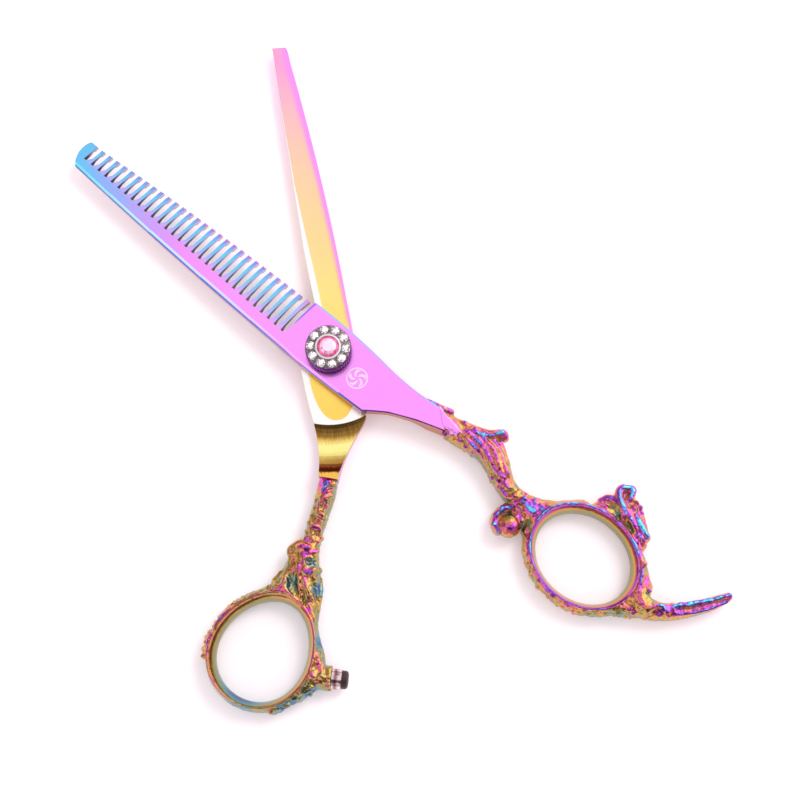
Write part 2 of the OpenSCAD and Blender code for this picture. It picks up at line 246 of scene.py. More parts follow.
def comb_titanium():
    """Magenta at the pivot, through violet to cyan at the tip, with cyan teeth and slot walls painted dark as
    shade.
    """
    s = Shader("comb_titanium")
    x, y, z, normal = s.half_frame(COMB)
    drift = s.noise(s.vector(x, y), 0.16, 2.0) - 0.5
    face = s.ramp(y + drift * 5.0, [(24, "#fda0fe"), (40, "#f79bfd"), (48, "#d8a2fe"), (54, "#beacfd"),
        (60, "#a6b4fe"), (66, "#92bafc"), (72, "#74cafa")])
    # the line of the teeth's roots, and the share of the way along a tooth
    root = (y - 11.55) * 0.0886 - 2.51
    along_tooth = (x - root) / (7.3 - root)
    tooth = s.ramp(along_tooth, [(0.0, "#deacff"), (0.16, "#b0baff"), (0.4, "#86c8ff"), (0.65, "#70d0fa"),
        (0.88, "#82aaf4"), (0.94, "#ba7cec"), (1.0, "#d278c8")])
    tooth = s.mix(along_tooth.over(0.84, 0.94) * y.over(34.0, 58.0), tooth, "#7ea8f0")
    toothed = along_tooth.over(-0.12, 0.22) * y.over(10.0, 12.5) * (1.0 - y.over(70.0, 73.5))
    colour = s.mix(toothed, face, tooth)
    # the bevel along the spine: a pale painted highlight, then a thin deep blue line
    face_height = 2.8 - s.math("MAXIMUM", y - 8.0, 0.0) * 0.01769
    drop = face_height - z
    pale = s.ramp(y, [(-6, "#fda0fe"), (10, "#ecaaff"), (24, "#d6d0ff"), (56, "#bee8ff"), (72, "#82ecfc")])
    cobalt = s.ramp(y, [(-32, "#461060"), (-16, "#341682"), (-6, "#4a78e2"),
                        (40, "#4260dc"), (72, "#2882d6")])
    bevel = s.mix(s.step(drop, 0.26, 0.42), pale, cobalt)
    leftward = s.step(normal[0] * -1.0, 0.15, 0.35)
    rightward = s.step(normal[0], 0.2, 0.45)
    slanted = s.step(normal[2], 0.97, 0.9)
    colour = s.mix(leftward * slanted * s.step(x - root, 1.0, 0.4), colour, bevel)
    # pale blue on the right-facing bevels below the teeth: painted highlight
    colour = s.mix(rightward * slanted * s.step(y, 11.0, 9.0), colour, "#b0ceff")
    # the shank's right and left outlines: a pale painted highlight line along the right, a deep blue line
    # along the left
    right = s.ramp_value(y, [(-27.3, 4.45), (-23.8, 4.3), (-17.4, 4.55), (-10, 5.5), (-0.4, 6.6), (8.7, 7.1)])
    left = s.ramp_value(y, [(-31.15, 0.75), (-24.5, -1.1), (-18.5, -3.45), (-15.8, -5.1), (-13.75, -6.47),
                            (-2, -6.25), (10, -5.55)])
    near_right = s.step(right - x, 0.36, 0.2) * s.step(y, 8.6, 8.3)
    near_left = s.step(x - left, 0.44, 0.24) * s.step(y, -6.3, -7.3)
    top_side = s.step(normal[2], 0.9, 0.97)
    colour = s.mix(near_right * top_side, colour, "#acccff")
    colour = s.mix(near_left * top_side, colour, cobalt)
    lip_line = s.step(s.math("ABSOLUTE", y - 8.9 - (7.1 - x) * 0.17), 0.26, 0.12) * s.step(y, 11.2, 10.9)
    colour = s.mix(lip_line * top_side * s.step(x, 0.0, 1.2), colour, "#9678ff")
    # side walls, brown-pink partly as the film's colour at a steep angle and partly as painted shade, and the
    # walls of the slots, painted near black at the teeth's roots as shade
    outer_wall = s.ramp(y, [(-30, "#ce7a42"), (-14, "#be6046"), (4, "#c46868"), (60, "#c87e8a")])
    ledge = s.step(y, 12.0, 11.0) * s.step(normal[1], 0.3, 0.5)
    outer_wall = s.mix(ledge, outer_wall, "#702242")
    slot_wall = s.ramp(along_tooth, [(0.1, "#100832"), (0.6, "#2c1e5a"), (1.0, "#8c4c50")])
    depth = s.step(drop, 0.35, 0.8)
    slot_wall = s.mix(depth * along_tooth.over(0.2, 0.6) * 0.8, slot_wall, "#cebed6")
    slotted = along_tooth.over(-0.12, 0.0) * y.over(8.0, 9.0) * (1.0 - ledge)
    wall = s.mix(slotted, outer_wall, slot_wall)
    colour = s.mix(s.step(normal[2], 0.55, 0.2), colour, wall)
    # an etched pinwheel in a circle beside the dial
    from_x, from_y = x + 1.15, y + 8.65
    radius = s.length(from_x, from_y)
    angle = s.math("ARCTAN2", from_y, from_x)
    rim = s.step(s.math("ABSOLUTE", radius - 2.26), 0.2, 0.1)
    arms = s.step(s.math("SINE", angle * 5.0 + radius * 3.0), 0.05, 0.4)
    arms = arms * s.step(radius, 1.98, 1.86) * s.step(radius, 0.3, 0.5)
    etched = s.math("MAXIMUM", rim, arms) * s.step(normal[2], 0.9, 0.98)
    colour = s.mix(etched * 0.85, colour, "#ffecff")
    brushed = s.noise(s.vector(x * 9.0, y * 0.7, z), 1.0, 3.0)
    s.bump(brushed, 0.012)
    s.set(Base_Color=colour, Metallic=1.0, Roughness=brushed * 0.1 + etched * 0.2 + 0.17)
    return s


def straight_titanium():
    """Gold at the pivot, rose and magenta towards the tip and edges, bare steel where it is honed."""
    s = Shader("straight_titanium")
    x, y, z, normal = s.half_frame(STRAIGHT)
    drift = (s.noise(s.vector(x, y), 0.2, 2.0) - 0.5) * 6.0
    # how far a point is from the spine edge, which bows
    spine = s.ramp_value(y, [(-6, 5.95), (11.8, 5.73), (25.5, 5.34), (39.9, 4.55), (55.1, 3.35), (71, 1.76)])
    inward = spine - x
    length_colour = s.ramp(y + drift, [(-14, "#ffd868"), (-2, "#ffe274"), (14, "#ffe68c"), (26, "#fdde9c"),
        (38, "#fed9a8"), (50, "#fecfba"), (60, "#ffc2cb"), (70, "#ffaeda")])
    edge_colour = s.ramp(y, [(10, "#fabe96"), (30, "#faa0e1"), (60, "#fd9efa")])
    edge_share = s.step(inward + drift * 0.06, y * 0.014 + 1.3, 0.35)
    colour = s.mix(edge_share * y.over(5.0, 9.0), length_colour, edge_colour)
    colour = s.mix(s.step(inward, 0.75, 0.5) * y.over(-2.0, 4.0) * 0.85, colour, "#ff9efc")
    # bare steel along the cutting edge and round the half moon
    hone = s.ramp_value(y, [(10, 0.1), (18, -0.3), (28, -0.95), (41, -1.65), (70, -1.98)])
    bare_front = s.step(x - hone, 0.1, -0.1) * y.over(4.0, 6.0)
    moon_x = s.math("ABSOLUTE", (x + 0.3) / 4.95)
    moon_y = s.math("MAXIMUM", (y + 3.0) / -11.95, 0.0)
    moon = s.math("POWER", moon_x, 2.3) + s.math("POWER", moon_y, 2.3)
    inside_moon = s.step(moon, 1.04, 0.98)
    ring_radius = s.length(x, y)
    band = s.step(ring_radius, 15.97, 15.85) * (1.0 - inside_moon) * s.step(y, 3.0, 1.0)
    bare = s.math("MAXIMUM", bare_front, band) * s.step(normal[2], 0.9, 0.97)
    # the ramp behind the ride ring: a dark band of painted shade, then a bright yellow painted highlight,
    # gold and a brown line
    reach = ring_radius + (s.noise(s.vector(x * 3.0, y * 0.5), 1.0, 3.0) - 0.5) * 1.3
    shank = s.ramp(reach, [(15.9, "#684820"), (17.6, "#7a5828"), (18.6, "#966e32"), (19.5, "#ecc868"),
        (20.6, "#fff8a0"), (22.2, "#fff496"), (23.8, "#f4c862"), (25.4, "#dea850"), (25.9, "#8c5224"),
        (26.8, "#84462c"), (27.2, "#f6be58"), (28.3, "#fac460")])
    streaks = s.noise(s.vector(s.math("ARCTAN2", y, x) * 110.0, ring_radius * 0.25), 1.0, 2.0)
    shank = s.mix(s.step(reach, 20.0, 17.6) * streaks.over(0.35, 0.8) * 0.45, shank, "#c49c54")
    colour = s.mix(s.step(y, -12.0, -13.5) * ring_radius.over(15.85, 15.97), colour, shank)
    wall = s.ramp(y, [(-28, "#be6ebe"), (-12, "#ce86a0"), (10, "#de96aa"), (60, "#ec96dc")])
    colour = s.mix(s.step(normal[2], 0.5, 0.2) * s.step(normal[2], -0.6, -0.4), colour, wall)
    under = s.ramp(y, [(-20, "#f6ce6e"), (30, "#fac496"), (66, "#ee96e8")])
    colour = s.mix(s.step(normal[2], -0.4, -0.6), colour, under)
    colour = s.mix(bare, colour, "#ffffff")
    brushed = s.noise(s.vector(x * 10.0, y * 0.6, z), 1.0, 3.0)
    s.bump(brushed, 0.014)
    s.set(Base_Color=colour, Metallic=1.0, Roughness=brushed * 0.12 + 0.16)
    return s


# ---------- cast handle finishes ----------

FILM = [(0.00, "#60d6fa"), (0.08, "#68a0f6"), (0.16, "#7654d6"), (0.25, "#a63ebe"), (0.35, "#d64ec6"),
    (0.45, "#de5a8c"), (0.54, "#dc765c"), (0.64, "#da9a42"), (0.74, "#c8a554"), (0.86, "#9c925a"),
    (0.98, "#969a76"), (1.10, "#789e96"), (1.22, "#5692aa"), (1.36, "#28548c"), (1.50, "#18285c")]


def cast_titanium(name, turn):
    """A coloured film on cast relief: its colour follows the slope, the relief's height and slow patches,
    with painted highlights along crests and painted shade in hollows.
    """
    s = Shader(name)
    x, y, z, normal = s.half_frame(turn)
    film = s.attribute("film")
    calm = s.attribute("calm")
    hollow = s.attribute("hollow")
    face = s.attribute("face")
    place = s.vector(x, y, z)
    patches = s.noise(place, 0.34, 1.0) - 0.5
    hammer = s.noise(place, 1.1, 1.0)
    # 0 where the surface faces up or down, 1 on a wall
    slope = s.math("ARCCOSINE", s.math("MINIMUM", s.math("ABSOLUTE", normal[2]), 1.0)) * (2 / math.pi)
    rough_share = slope * 0.66 + patches * 0.5 + (hammer - 0.5) * 0.4
    phase = rough_share * (1.0 - calm) + patches * calm * 0.12 + film
    colour = s.mix(0.16, s.ramp(phase, FILM), "#84847c")
    colour = s.mix(face, colour, "#fda0fe")
    # dark brown and less metallic in the relief's hollows: painted shade
    colour = s.mix(hollow, colour, "#684638")
    grain = s.noise(place, 7.0, 3.0)
    s.bump((hammer * 0.25 + grain * 0.008) * (1.0 - calm * 0.9) * (1.0 - face), 1.0)
    s.set(Base_Color=colour, Metallic=1.0 - hollow * 0.9, Roughness=grain * 0.12 + 0.1)
    return s


def gap_to(path, x, y):
    """Distance of points from a line of straight pieces."""
    best = np.full(len(x), 99.0)
    for (ax, ay), (bx, by) in zip(path, path[1:]):
        dx, dy = bx - ax, by - ay
        t = np.clip(((x - ax) * dx + (y - ay) * dy) / (dx * dx + dy * dy), 0, 1)
        best = np.minimum(best, np.hypot(x - ax - dx * t, y - ay - dy * t))
    return best


def film_of(work, hole, vertices, relief, start, swing, spots, crest, rim, sweep, tongue=None):
    """For each vertex: the film's phase, its calm share inside the ring, painted shade in hollows, plain
    blade colour.

    The phase is start, less swing times the relief, so that raised relief turns cyan as painted highlight; it
    is shifted near spots (x, y, radius, shift) and along the sculpture's painted highlight lines. Round the
    hole it runs from rim to crest instead, and sweep (shift, angle) adds a broad change on one side. A
    tongue, from y = -tongue up, keeps the blade's own colour.
    """
    x, y, z = vertices.T
    # raised relief moves towards cyan as painted highlight, hollows towards gold
    film = start - np.clip(relief, -0.12, 0.12) * swing
    for sx, sy, radius, shift in spots:
        near = np.clip(1.4 - np.hypot(x - sx, y - sy) / radius, 0, 1)
        film = film + shift * near * near * (3 - 2 * near)
    flow = 0.6 + 0.4 * np.sin(1.7 * x - 1.1 * y)
    # painted highlights: the phase moves towards cyan along crest lines, on the upper half only
    for path, reach, shift in work.highlight_tints:
        film = film + shift * flow * np.clip(1.6 - gap_to(path, x, y) / reach, 0, 1) * np.clip(z, 0, 1)
    out, _ = hole.outward(x, y)
    around = np.arctan2(y - hole.centre[1], x - hole.centre[0])
    share = np.clip(out / 1.55, 0, 1)
    calm = np.clip((1.75 - out) / 0.3, 0, 1) * np.clip(z + 1.6, 0, 1)
    smooth = rim + (crest - rim) * share ** 2.1
    smooth = smooth + sweep[0] * np.maximum(np.cos(around - math.radians(sweep[1])), 0) ** 6
    film = film * (1 - calm) + smooth * calm
    face = np.zeros(len(x))
    if tongue is not None:
        face = np.clip((z - 2.5) / 0.15, 0, 1) * np.clip((y + tongue) / 1.5, 0, 1)
    # painted shade in the relief's hollows, darker the deeper, up to 0.6
    return {"film": film, "calm": calm, "hollow": np.clip(-relief * 7.0, 0, 0.6), "face": face}


# where the film's colour wanders: (x, y, radius, shift of the phase)
FINGER_SPOTS = [(2.0, -43.0, 3.5, 0.22), (3.5, -35.0, 2.0, 0.25), (-0.8, -50.6, 1.8, 0.3),
    (-6.2, -53.2, 1.6, 0.3), (-8.0, -55.4, 1.6, 0.05), (-1.6, -56.6, 2.2, -0.12), (8.6, -70.6, 1.8, 0.4),
    (7.2, -75.4, 1.6, 0.3), (9.4, -77.4, 1.3, -0.2), (13.6, -69.4, 2.4, 0.0), (-3.6, -86.4, 2.6, 0.35),
    (-8.6, -83.6, 2.4, 0.3), (3.4, -82.4, 2.2, 0.3), (-12.6, -64.6, 2.6, 0.15), (-11.6, -79.4, 3.0, 0.25),
    (8.2, -41.4, 1.6, -0.15), (-4.6, -57.6, 1.6, 0.4)]

THUMB_SPOTS = [(-5.2, -28.3, 1.8, -0.22), (-6.8, -29.4, 2.0, -0.34), (-12.2, -41.6, 2.3, -0.2),
    (-10.4, -43.0, 1.4, -0.15), (-11.0, -45.1, 1.1, 0.45), (-11.4, -47.0, 1.1, -0.15),
    (-15.3, -48.8, 1.7, 0.3), (-10.2, -51.0, 1.5, 0.5), (-11.6, -62.0, 1.6, 0.35), (-20.5, -73.6, 2.8, 0.4),
    (-15.6, -71.4, 2.0, 0.3), (-31.0, -53.6, 2.4, -0.16), (-34.6, -58.4, 2.6, -0.14),
    (-13.4, -60.0, 1.2, -0.2), (-10.8, -69.4, 1.8, 0.1), (-30.4, -72.6, 2.6, 0.2)]


# ---------- dial and bumper finishes ----------

def knurled_steel():
    """Purple film, painted near black in the knurl's grooves as shade."""
    s = Shader("knurled_steel")
    x, y, z, _ = s.half_frame(0.0)
    radius = s.length(x, y)
    # near black in the grooves, purple on the ridges: painted shade in the grooves
    colour = s.mix(radius.over(4.88, 5.03), "#22002c", "#961eb0")
    colour = s.mix(s.noise(s.vector(x, y, z), 0.9) * 0.5, colour, "#3c005a")
    s.set(Base_Color=colour, Metallic=1.0, Roughness=0.3)
    return s


def setting_metal():
    """Dark mottled cast metal with a painted highlight as a bright rim round the middle stone."""
    s = Shader("setting_metal")
    x, y, z, _ = s.half_frame(0.0)
    radius = s.length(x, y)
    place = s.vector(x, y, z)
    mottle = s.noise(place, 2.6, 3.0, 0.7)
    colour = s.ramp(mottle, [(0.3, "#4e3e42"), (0.52, "#88787c"), (0.78, "#e0d4d8")])
    # a bright rim round the middle stone: painted highlight
    rim = s.step(s.math("ABSOLUTE", radius - 2.62), 0.26, 0.14)
    colour = s.mix(rim, colour, "#f0e8ec")
    s.bump(mottle, 0.02)
    s.set(Base_Color=colour, Metallic=1.0, Roughness=0.34)
    return s


def foiled_stone(name, stops, rim=None):
    """Cut glass over foil: each facet's light or dark colour, picked by its normal, is a painted reflection.
    """
    s = Shader(name)
    place = s.node("ShaderNodeTexCoord")
    pick = s.noise(place.outputs["Normal"], 9.0, 3.0, 0.8)
    colour = s.ramp(pick, stops)
    if rim is not None:
        x, y, _, _ = s.half_frame(0.0)
        colour = s.mix(s.length(x, y).over(1.62, 1.86), colour, s.ramp(pick, rim))
    s.set(Base_Color=colour, Metallic=0.35, Roughness=0.06)
    s.principled.inputs["Coat Weight"].default_value = 1.0
    return s


def chrome():
    """Rosy chrome with turned rings."""
    s = Shader("chrome")
    along, _, _, _ = s.half_frame(STRAIGHT + BUMPER_TURN)
    turned = s.math("SINE", along * 3.4)
    colour = s.ramp(turned, [(-1.0, "#967074"), (0.0, "#d6babe"), (1.0, "#ecd6d8")])
    s.bump(turned, 0.02)
    s.set(Base_Color=colour, Metallic=1.0, Roughness=0.16)
    return s


def rubber():
    """Dark brown rubber with a dusty grain."""
    s = Shader("rubber")
    grain = s.grain(3000.0)
    s.bump(grain, 0.03)
    s.set(Base_Color=s.mix(grain, "#220e0e", "#3a1e1c"), Roughness=0.42)
    return s


def plain_steel():
    """Bright turned steel."""
    s = Shader("plain_steel")
    x, y, z, _ = s.half_frame(0.0)
    turned = s.noise(s.vector(s.length(x, y) * 8.0, z * 2.0), 1.0, 2.0)
    s.bump(turned, 0.02)
    s.set(Base_Color=s.mix(turned, "#b0b2b8", "#cecfd4"), Metallic=1.0, Roughness=0.24)
    return s


def bronze():
    """Dull bronze of the bushing."""
    s = Shader("bronze")
    grain = s.grain(2500.0)
    s.set(Base_Color=s.mix(grain, "#966834", "#b88c50"), Metallic=1.0, Roughness=0.35)
    return s


def milky_plastic():
    """Off-white plastic of the friction washer."""
    s = Shader("milky_plastic")
    grain = s.grain(1500.0)
    s.set(Base_Color=s.mix(grain, "#e2ded0", "#f0ede2"), Roughness=0.5)
    return s


# ---------- cut stones ----------

def cut_stone(points, faces, centre, radius, high, deep, turn, dome):
    """Adds a round cut stone: a flat table, two rows of crown facets and a pointed back."""
    first, sides = len(points), 8
    rows = [(0.5, high, 0.0), (0.78, high * dome, 0.5), (1.0, 0.0, 0.0)]
    for share, z, shift in rows:
        for i in range(sides):
            angle = turn + (i + shift) * 2 * math.pi / sides
            x, y = radius * share * math.cos(angle), radius * share * math.sin(angle)
            points.append((centre[0] + x, centre[1] + y, centre[2] + z))
    points.append((centre[0], centre[1], centre[2] - deep))
    table, crown, girdle, back = [first + k * sides for k in range(4)]
    faces.append([table + i for i in range(sides)])
    for i in range(sides):
        j = (i + 1) % sides
        faces.append([table + i, crown + i, table + j])
        faces.append([table + j, crown + i, girdle + j, crown + j])
        faces.append([crown + i, girdle + i, girdle + j])
        faces.append([girdle + i, back, girdle + j])


def stones():
    """The middle stone and the ring of small ones, as cut stones in their seats."""
    # the facets' dark grey to white, and deep to pale pink, are painted reflections within each stone's
    # colour
    clear = foiled_stone("clear_stone", [(0.36, "#463e42"), (0.45, "#968e92"), (0.49, "#f6f4f6"),
        (0.58, "#ffffff"), (0.64, "#787076")])
    pink = foiled_stone("pink_stone", [(0.36, "#ec6eb4"), (0.46, "#fcbee2"), (0.55, "#fff0fa"),
        (0.66, "#faaadc")], [(0.36, "#c4145a"), (0.5, "#f65496"), (0.6, "#ff82ba"), (0.68, "#e0286e")])
    points, faces = [], []
    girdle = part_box("ring_stones")[1].z / MM - 0.34 - RIDE_Z
    for i in range(10):
        angle = math.radians(i * 36)
        spot = (SEAT_CIRCLE * math.cos(angle), SEAT_CIRCLE * math.sin(angle), girdle)
        cut_stone(points, faces, spot, 1.0, 0.33, 0.4, angle * 1.7, 0.62)
    mesh_piece("ring_stones_cut", np.array(points), faces, 0.0, clear, "dial", ["ring_stones"])
    points, faces = [], []
    low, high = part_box("center_stone")
    girdle = high.z / MM - 0.7 - RIDE_Z
    cut_stone(points, faces, (0, 0, girdle), (high.x - low.x) / 2 / MM + 0.16, 0.66, 0.55, 0.2, 0.6)
    mesh_piece("center_stone_cut", np.array(points), faces, 0.0, pink, "dial", ["center_stone"])


# ---------- sculpting ----------

def smooth_max(a, b, blend):
    """The larger of two distances, rounded where they meet."""
    h = np.maximum(blend - np.abs(a - b), 0) / blend
    return np.maximum(a, b) + h * h * blend / 4


def blurred(field):
    """A field averaged with its neighbours along each axis."""
    for axis in range(3):
        field = (np.roll(field, 1, axis) + field + np.roll(field, -1, axis)) / 3
    return field


def spline(points, step=0.5):
    """Points along a smooth curve through the given ones; every column is carried along."""
    points = np.array(points, float)
    padded = np.vstack([2 * points[0] - points[1], points, 2 * points[-1] - points[-2]])
    made = []
    for i in range(1, len(padded) - 2):
        a, b, c, d = padded[i - 1:i + 3]
        count = max(1, int(np.linalg.norm((c - b)[:3]) / step))
        for t in np.arange(count) / count:
            straight, curved, twisted = c - a, 2 * a - 5 * b + 4 * c - d, 3 * b - a - 3 * c + d
            made.append(0.5 * (2 * b + straight * t + curved * t * t + twisted * t ** 3))
    made.append(points[-1])
    return np.array(made)


class Sculpture:
    """A solid kept as distances to its surface on a grid: negative inside."""

    FAR = 9.0

    def __init__(self, low, high, cell):
        self.low, self.cell = np.array(low, float), cell
        self.shape = [int(math.ceil((h - l) / cell)) + 1 for l, h in zip(low, high)]
        self.d = np.full(self.shape, self.FAR, np.float32)
        # lines along which the film's phase is shifted as painted highlights
        self.highlight_tints = []

    def window(self, low, high):
        """The slices of the grid inside a box, and the coordinates there."""
        slices, axes = [], []
        for k in range(3):
            first = max(0, int((low[k] - self.low[k]) / self.cell))
            last = min(self.shape[k], int((high[k] - self.low[k]) / self.cell) + 2)
            slices.append(slice(first, max(first, last)))
            form = [1, 1, 1]
            form[k] = -1
            axis = self.low[k] + self.cell * np.arange(first, max(first, last))
            axes.append(axis.astype(np.float32).reshape(form))
        return tuple(slices), axes

    def join(self, slices, distance, blend):
        self.d[slices] = -smooth_max(-self.d[slices], -distance, blend)

    def carve(self, slices, distance, blend):
        self.d[slices] = smooth_max(self.d[slices], -distance, blend)

    def bar(self, points, blend=0.4, flat=1.0, cut=False):
        """A round bar through points (x, y, z, radius); flat above 1 makes it lower than wide."""
        path = spline(points)
        reach = path[:, 3].max() / min(flat, 1.0) + blend + 3 * self.cell
        slices, _ = self.window(path[:, :3].min(0) - reach, path[:, :3].max(0) + reach)
        distance = np.full([s.stop - s.start for s in slices], self.FAR, np.float32)
        for a, b in zip(path, path[1:]):
            near = max(a[3], b[3]) / min(flat, 1.0) + blend + 2 * self.cell
            inner, (px, py, pz) = self.window(np.minimum(a, b)[:3] - near, np.maximum(a, b)[:3] + near)
            part = tuple(slice(max(i.start - o.start, 0), max(i.stop - o.start, 0))
                         for i, o in zip(inner, slices))
            ax, ay, az = px - a[0], py - a[1], (pz - a[2]) * flat
            bx, by, bz = b[0] - a[0], b[1] - a[1], (b[2] - a[2]) * flat
            size = max(bx * bx + by * by + bz * bz, 1e-9)
            t = np.clip((ax * bx + ay * by + az * bz) / size, 0, 1)
            gap = np.sqrt((ax - bx * t) ** 2 + (ay - by * t) ** 2 + (az - bz * t) ** 2)
            distance[part] = np.minimum(distance[part], gap - (a[3] + (b[3] - a[3]) * t))
        (self.carve if cut else self.join)(slices, distance, blend)

    def limb(self, points, blend, flat):
        """A bar in the middle plane through points (x, y, radius)."""
        self.bar([(x, y, MIDDLE, radius) for x, y, radius in points], blend, flat)

    def bead(self, x, y, z, radius, blend=0.25, stretch=(1.0, 1.0, 1.0), turn=0.0, cut=False):
        """A ball, or an egg when stretched; turn swings its x axis about z, in degrees."""
        stretch = np.array(stretch)
        reach = radius * stretch.max() + blend + 2 * self.cell
        centre = np.array([x, y, z])
        slices, (px, py, pz) = self.window(centre - reach, centre + reach)
        c, s = math.cos(math.radians(turn)), math.sin(math.radians(turn))
        u = ((px - x) * c + (py - y) * s) / stretch[0]
        v = ((py - y) * c - (px - x) * s) / stretch[1]
        w = (pz - z) / stretch[2]
        distance = (np.sqrt(u * u + v * v + w * w) - radius) * stretch.min()
        (self.carve if cut else self.join)(slices, distance.astype(np.float32), blend)

    def height(self, x, y, side=1):
        """The height of the surface over a point: the top for side 1, the underside for -1."""
        i, j = [int(round((v - l) / self.cell)) for v, l in zip((x, y), self.low)]
        column = self.d[np.clip(i, 0, self.shape[0] - 1), np.clip(j, 0, self.shape[1] - 1)]
        filled = np.nonzero(column < 0)[0]
        if not len(filled):
            return 0.0
        return self.low[2] + self.cell * (filled[-1] if side > 0 else filled[0])

    def vein(self, points, lift=0.05, blend=0.3, cut=False, highlight_tint=0.0):
        """A bar laid on the surface through points (x, y, radius), on the top and on the back."""
        for side in (1, -1):
            laid = [(x, y, self.height(x, y, side) + side * lift, r) for x, y, r in points]
            self.bar(laid, blend, cut=cut)
        # a painted highlight line along the vein
        if highlight_tint:
            self.highlight_tint([(x, y) for x, y, _ in points], points[0][2] + 0.25, highlight_tint)

    def highlight_tint(self, path, reach, shift):
        """Notes a line along which the film's phase is shifted, as a painted highlight."""
        self.highlight_tints.append((path, reach, shift))

    def pearl(self, x, y, radius, lift=0.1, **shape):
        """A bead laid on the surface."""
        if self.height(x, y) <= 0.5:
            return
        for side in (1, -1):
            self.bead(x, y, self.height(x, y, side) + side * lift, radius, **shape)

    def trim(self, low, high):
        """Cuts the solid flat below and above."""
        z = (self.low[2] + self.cell * np.arange(self.shape[2])).astype(np.float32)
        for wall in (low - z, z - high):
            self.d = smooth_max(self.d, wall, 0.35)

    def melt(self):
        """Rounds off everything small."""
        self.d = blurred(blurred(self.d))

    def ripple(self, size, hole):
        """A faint hammered unevenness that stays off the smooth inside of a ring."""
        x, y, z = [l + self.cell * np.arange(n) for l, n in zip(self.low, self.shape)]
        wave = np.zeros(self.shape, np.float32)
        for share, turn, fast in ((1.0, 0.4, 2.1), (0.8, 1.5, 3.1), (0.3, 2.6, 4.6)):
            u = (x[:, None] * math.cos(turn) + y[None, :] * math.sin(turn)) * fast
            v = (y[None, :] * math.cos(turn) - x[:, None] * math.sin(turn)) * fast * 0.83
            swirl = np.sin(u + 1.3 * np.sin(v * 0.61)) * np.sin(v + 1.1 * np.sin(u * 0.47))
            wave += (share * swirl[:, :, None] * (0.7 + 0.3 * np.sin(z * fast + turn))).astype(np.float32)
        out, _ = hole.outward(x[:, None], y[None, :])
        self.d += (size * wave * np.clip(out - 1.5, 0, 1)[:, :, None]).astype(np.float32)

    def skin(self):
        """The surface as vertices, square faces and a relief value for each vertex."""
        inside = self.d < 0
        n = np.array(self.shape)
        strides = np.array([n[1] * n[2], n[2], 1])
        total = int(n.prod())
        sums = np.zeros((3, total))
        hits = np.zeros(total)
        quads = []
        for axis in range(3):
            ahead = [slice(None)] * 3
            behind = [slice(None)] * 3
            ahead[axis], behind[axis] = slice(1, None), slice(None, -1)
            start, end = self.d[tuple(behind)], self.d[tuple(ahead)]
            cross = inside[tuple(behind)] != inside[tuple(ahead)]
            where = np.argwhere(cross)
            a, b = start[cross], end[cross]
            place = where.astype(float)
            place[:, axis] += a / (a - b)
            others = [k for k in range(3) if k != axis]
            keep = (where[:, others[0]] > 0) & (where[:, others[1]] > 0)
            where, place, outward = where[keep], place[keep], (a < 0)[keep]
            corner = []
            for du, dv in ((1, 1), (0, 1), (0, 0), (1, 0)):
                cell = where.copy()
                cell[:, others[0]] -= du
                cell[:, others[1]] -= dv
                index = cell @ strides
                corner.append(index)
                hits += np.bincount(index, minlength=total)
                for k in range(3):
                    sums[k] += np.bincount(index, weights=place[:, k], minlength=total)
            quad = np.stack(corner, 1)
            flip = outward if axis != 1 else ~outward
            quad[~flip] = quad[~flip][:, ::-1]
            quads.append(quad)
        used = np.nonzero(hits)[0]
        number = np.full(total, -1)
        number[used] = np.arange(len(used))
        vertices = (sums[:, used] / hits[used]).T
        faces = number[np.concatenate(quads)]
        # how far a vertex stands out of its surroundings
        relief = (blurred(blurred(blurred(self.d))) - self.d).ravel()[used]
        vertices, faces, relief = largest_piece(vertices, faces, relief)
        return self.low + vertices * self.cell, faces, relief


def largest_piece(vertices, faces, relief):
    """Only the biggest connected part of a mesh."""
    label = np.arange(len(vertices))
    while True:
        lowest = label[faces].min(1)
        spread = label.copy()
        for column in faces.T:
            np.minimum.at(spread, column, lowest)
        spread = spread[spread]
        if (spread == label).all():
            break
        label = spread
    keep = label == np.bincount(label).argmax()
    number = np.cumsum(keep) - 1
    return vertices[keep], number[faces[keep[faces[:, 0]]]], relief[keep]


def mesh_piece(name, vertices, faces, turn, shader, body, replaced, film=None):
    """A smooth mesh from points in millimetres of one half's frame, riding on a body."""
    c, s = math.cos(turn), math.sin(turn)
    x, y, z = vertices.T
    row = np.stack([x * c - y * s, x * s + y * c, z + RIDE_Z], 1) * MM
    data = bpy.data.meshes.new(name)
    data.from_pydata(row.tolist(), [], faces if isinstance(faces, list) else faces.tolist())
    if film is not None:
        for key, values in film.items():
            attribute = data.attributes.new(key, "FLOAT", "POINT")
            attribute.data.foreach_set("value", values.astype(np.float32))
        data.shade_smooth()
    data.materials.append(shader.material)
    piece = bpy.data.objects.new(name, data)
    bpy.context.scene.collection.objects.link(piece)
    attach(piece, body)
    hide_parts(*replaced)
    return piece


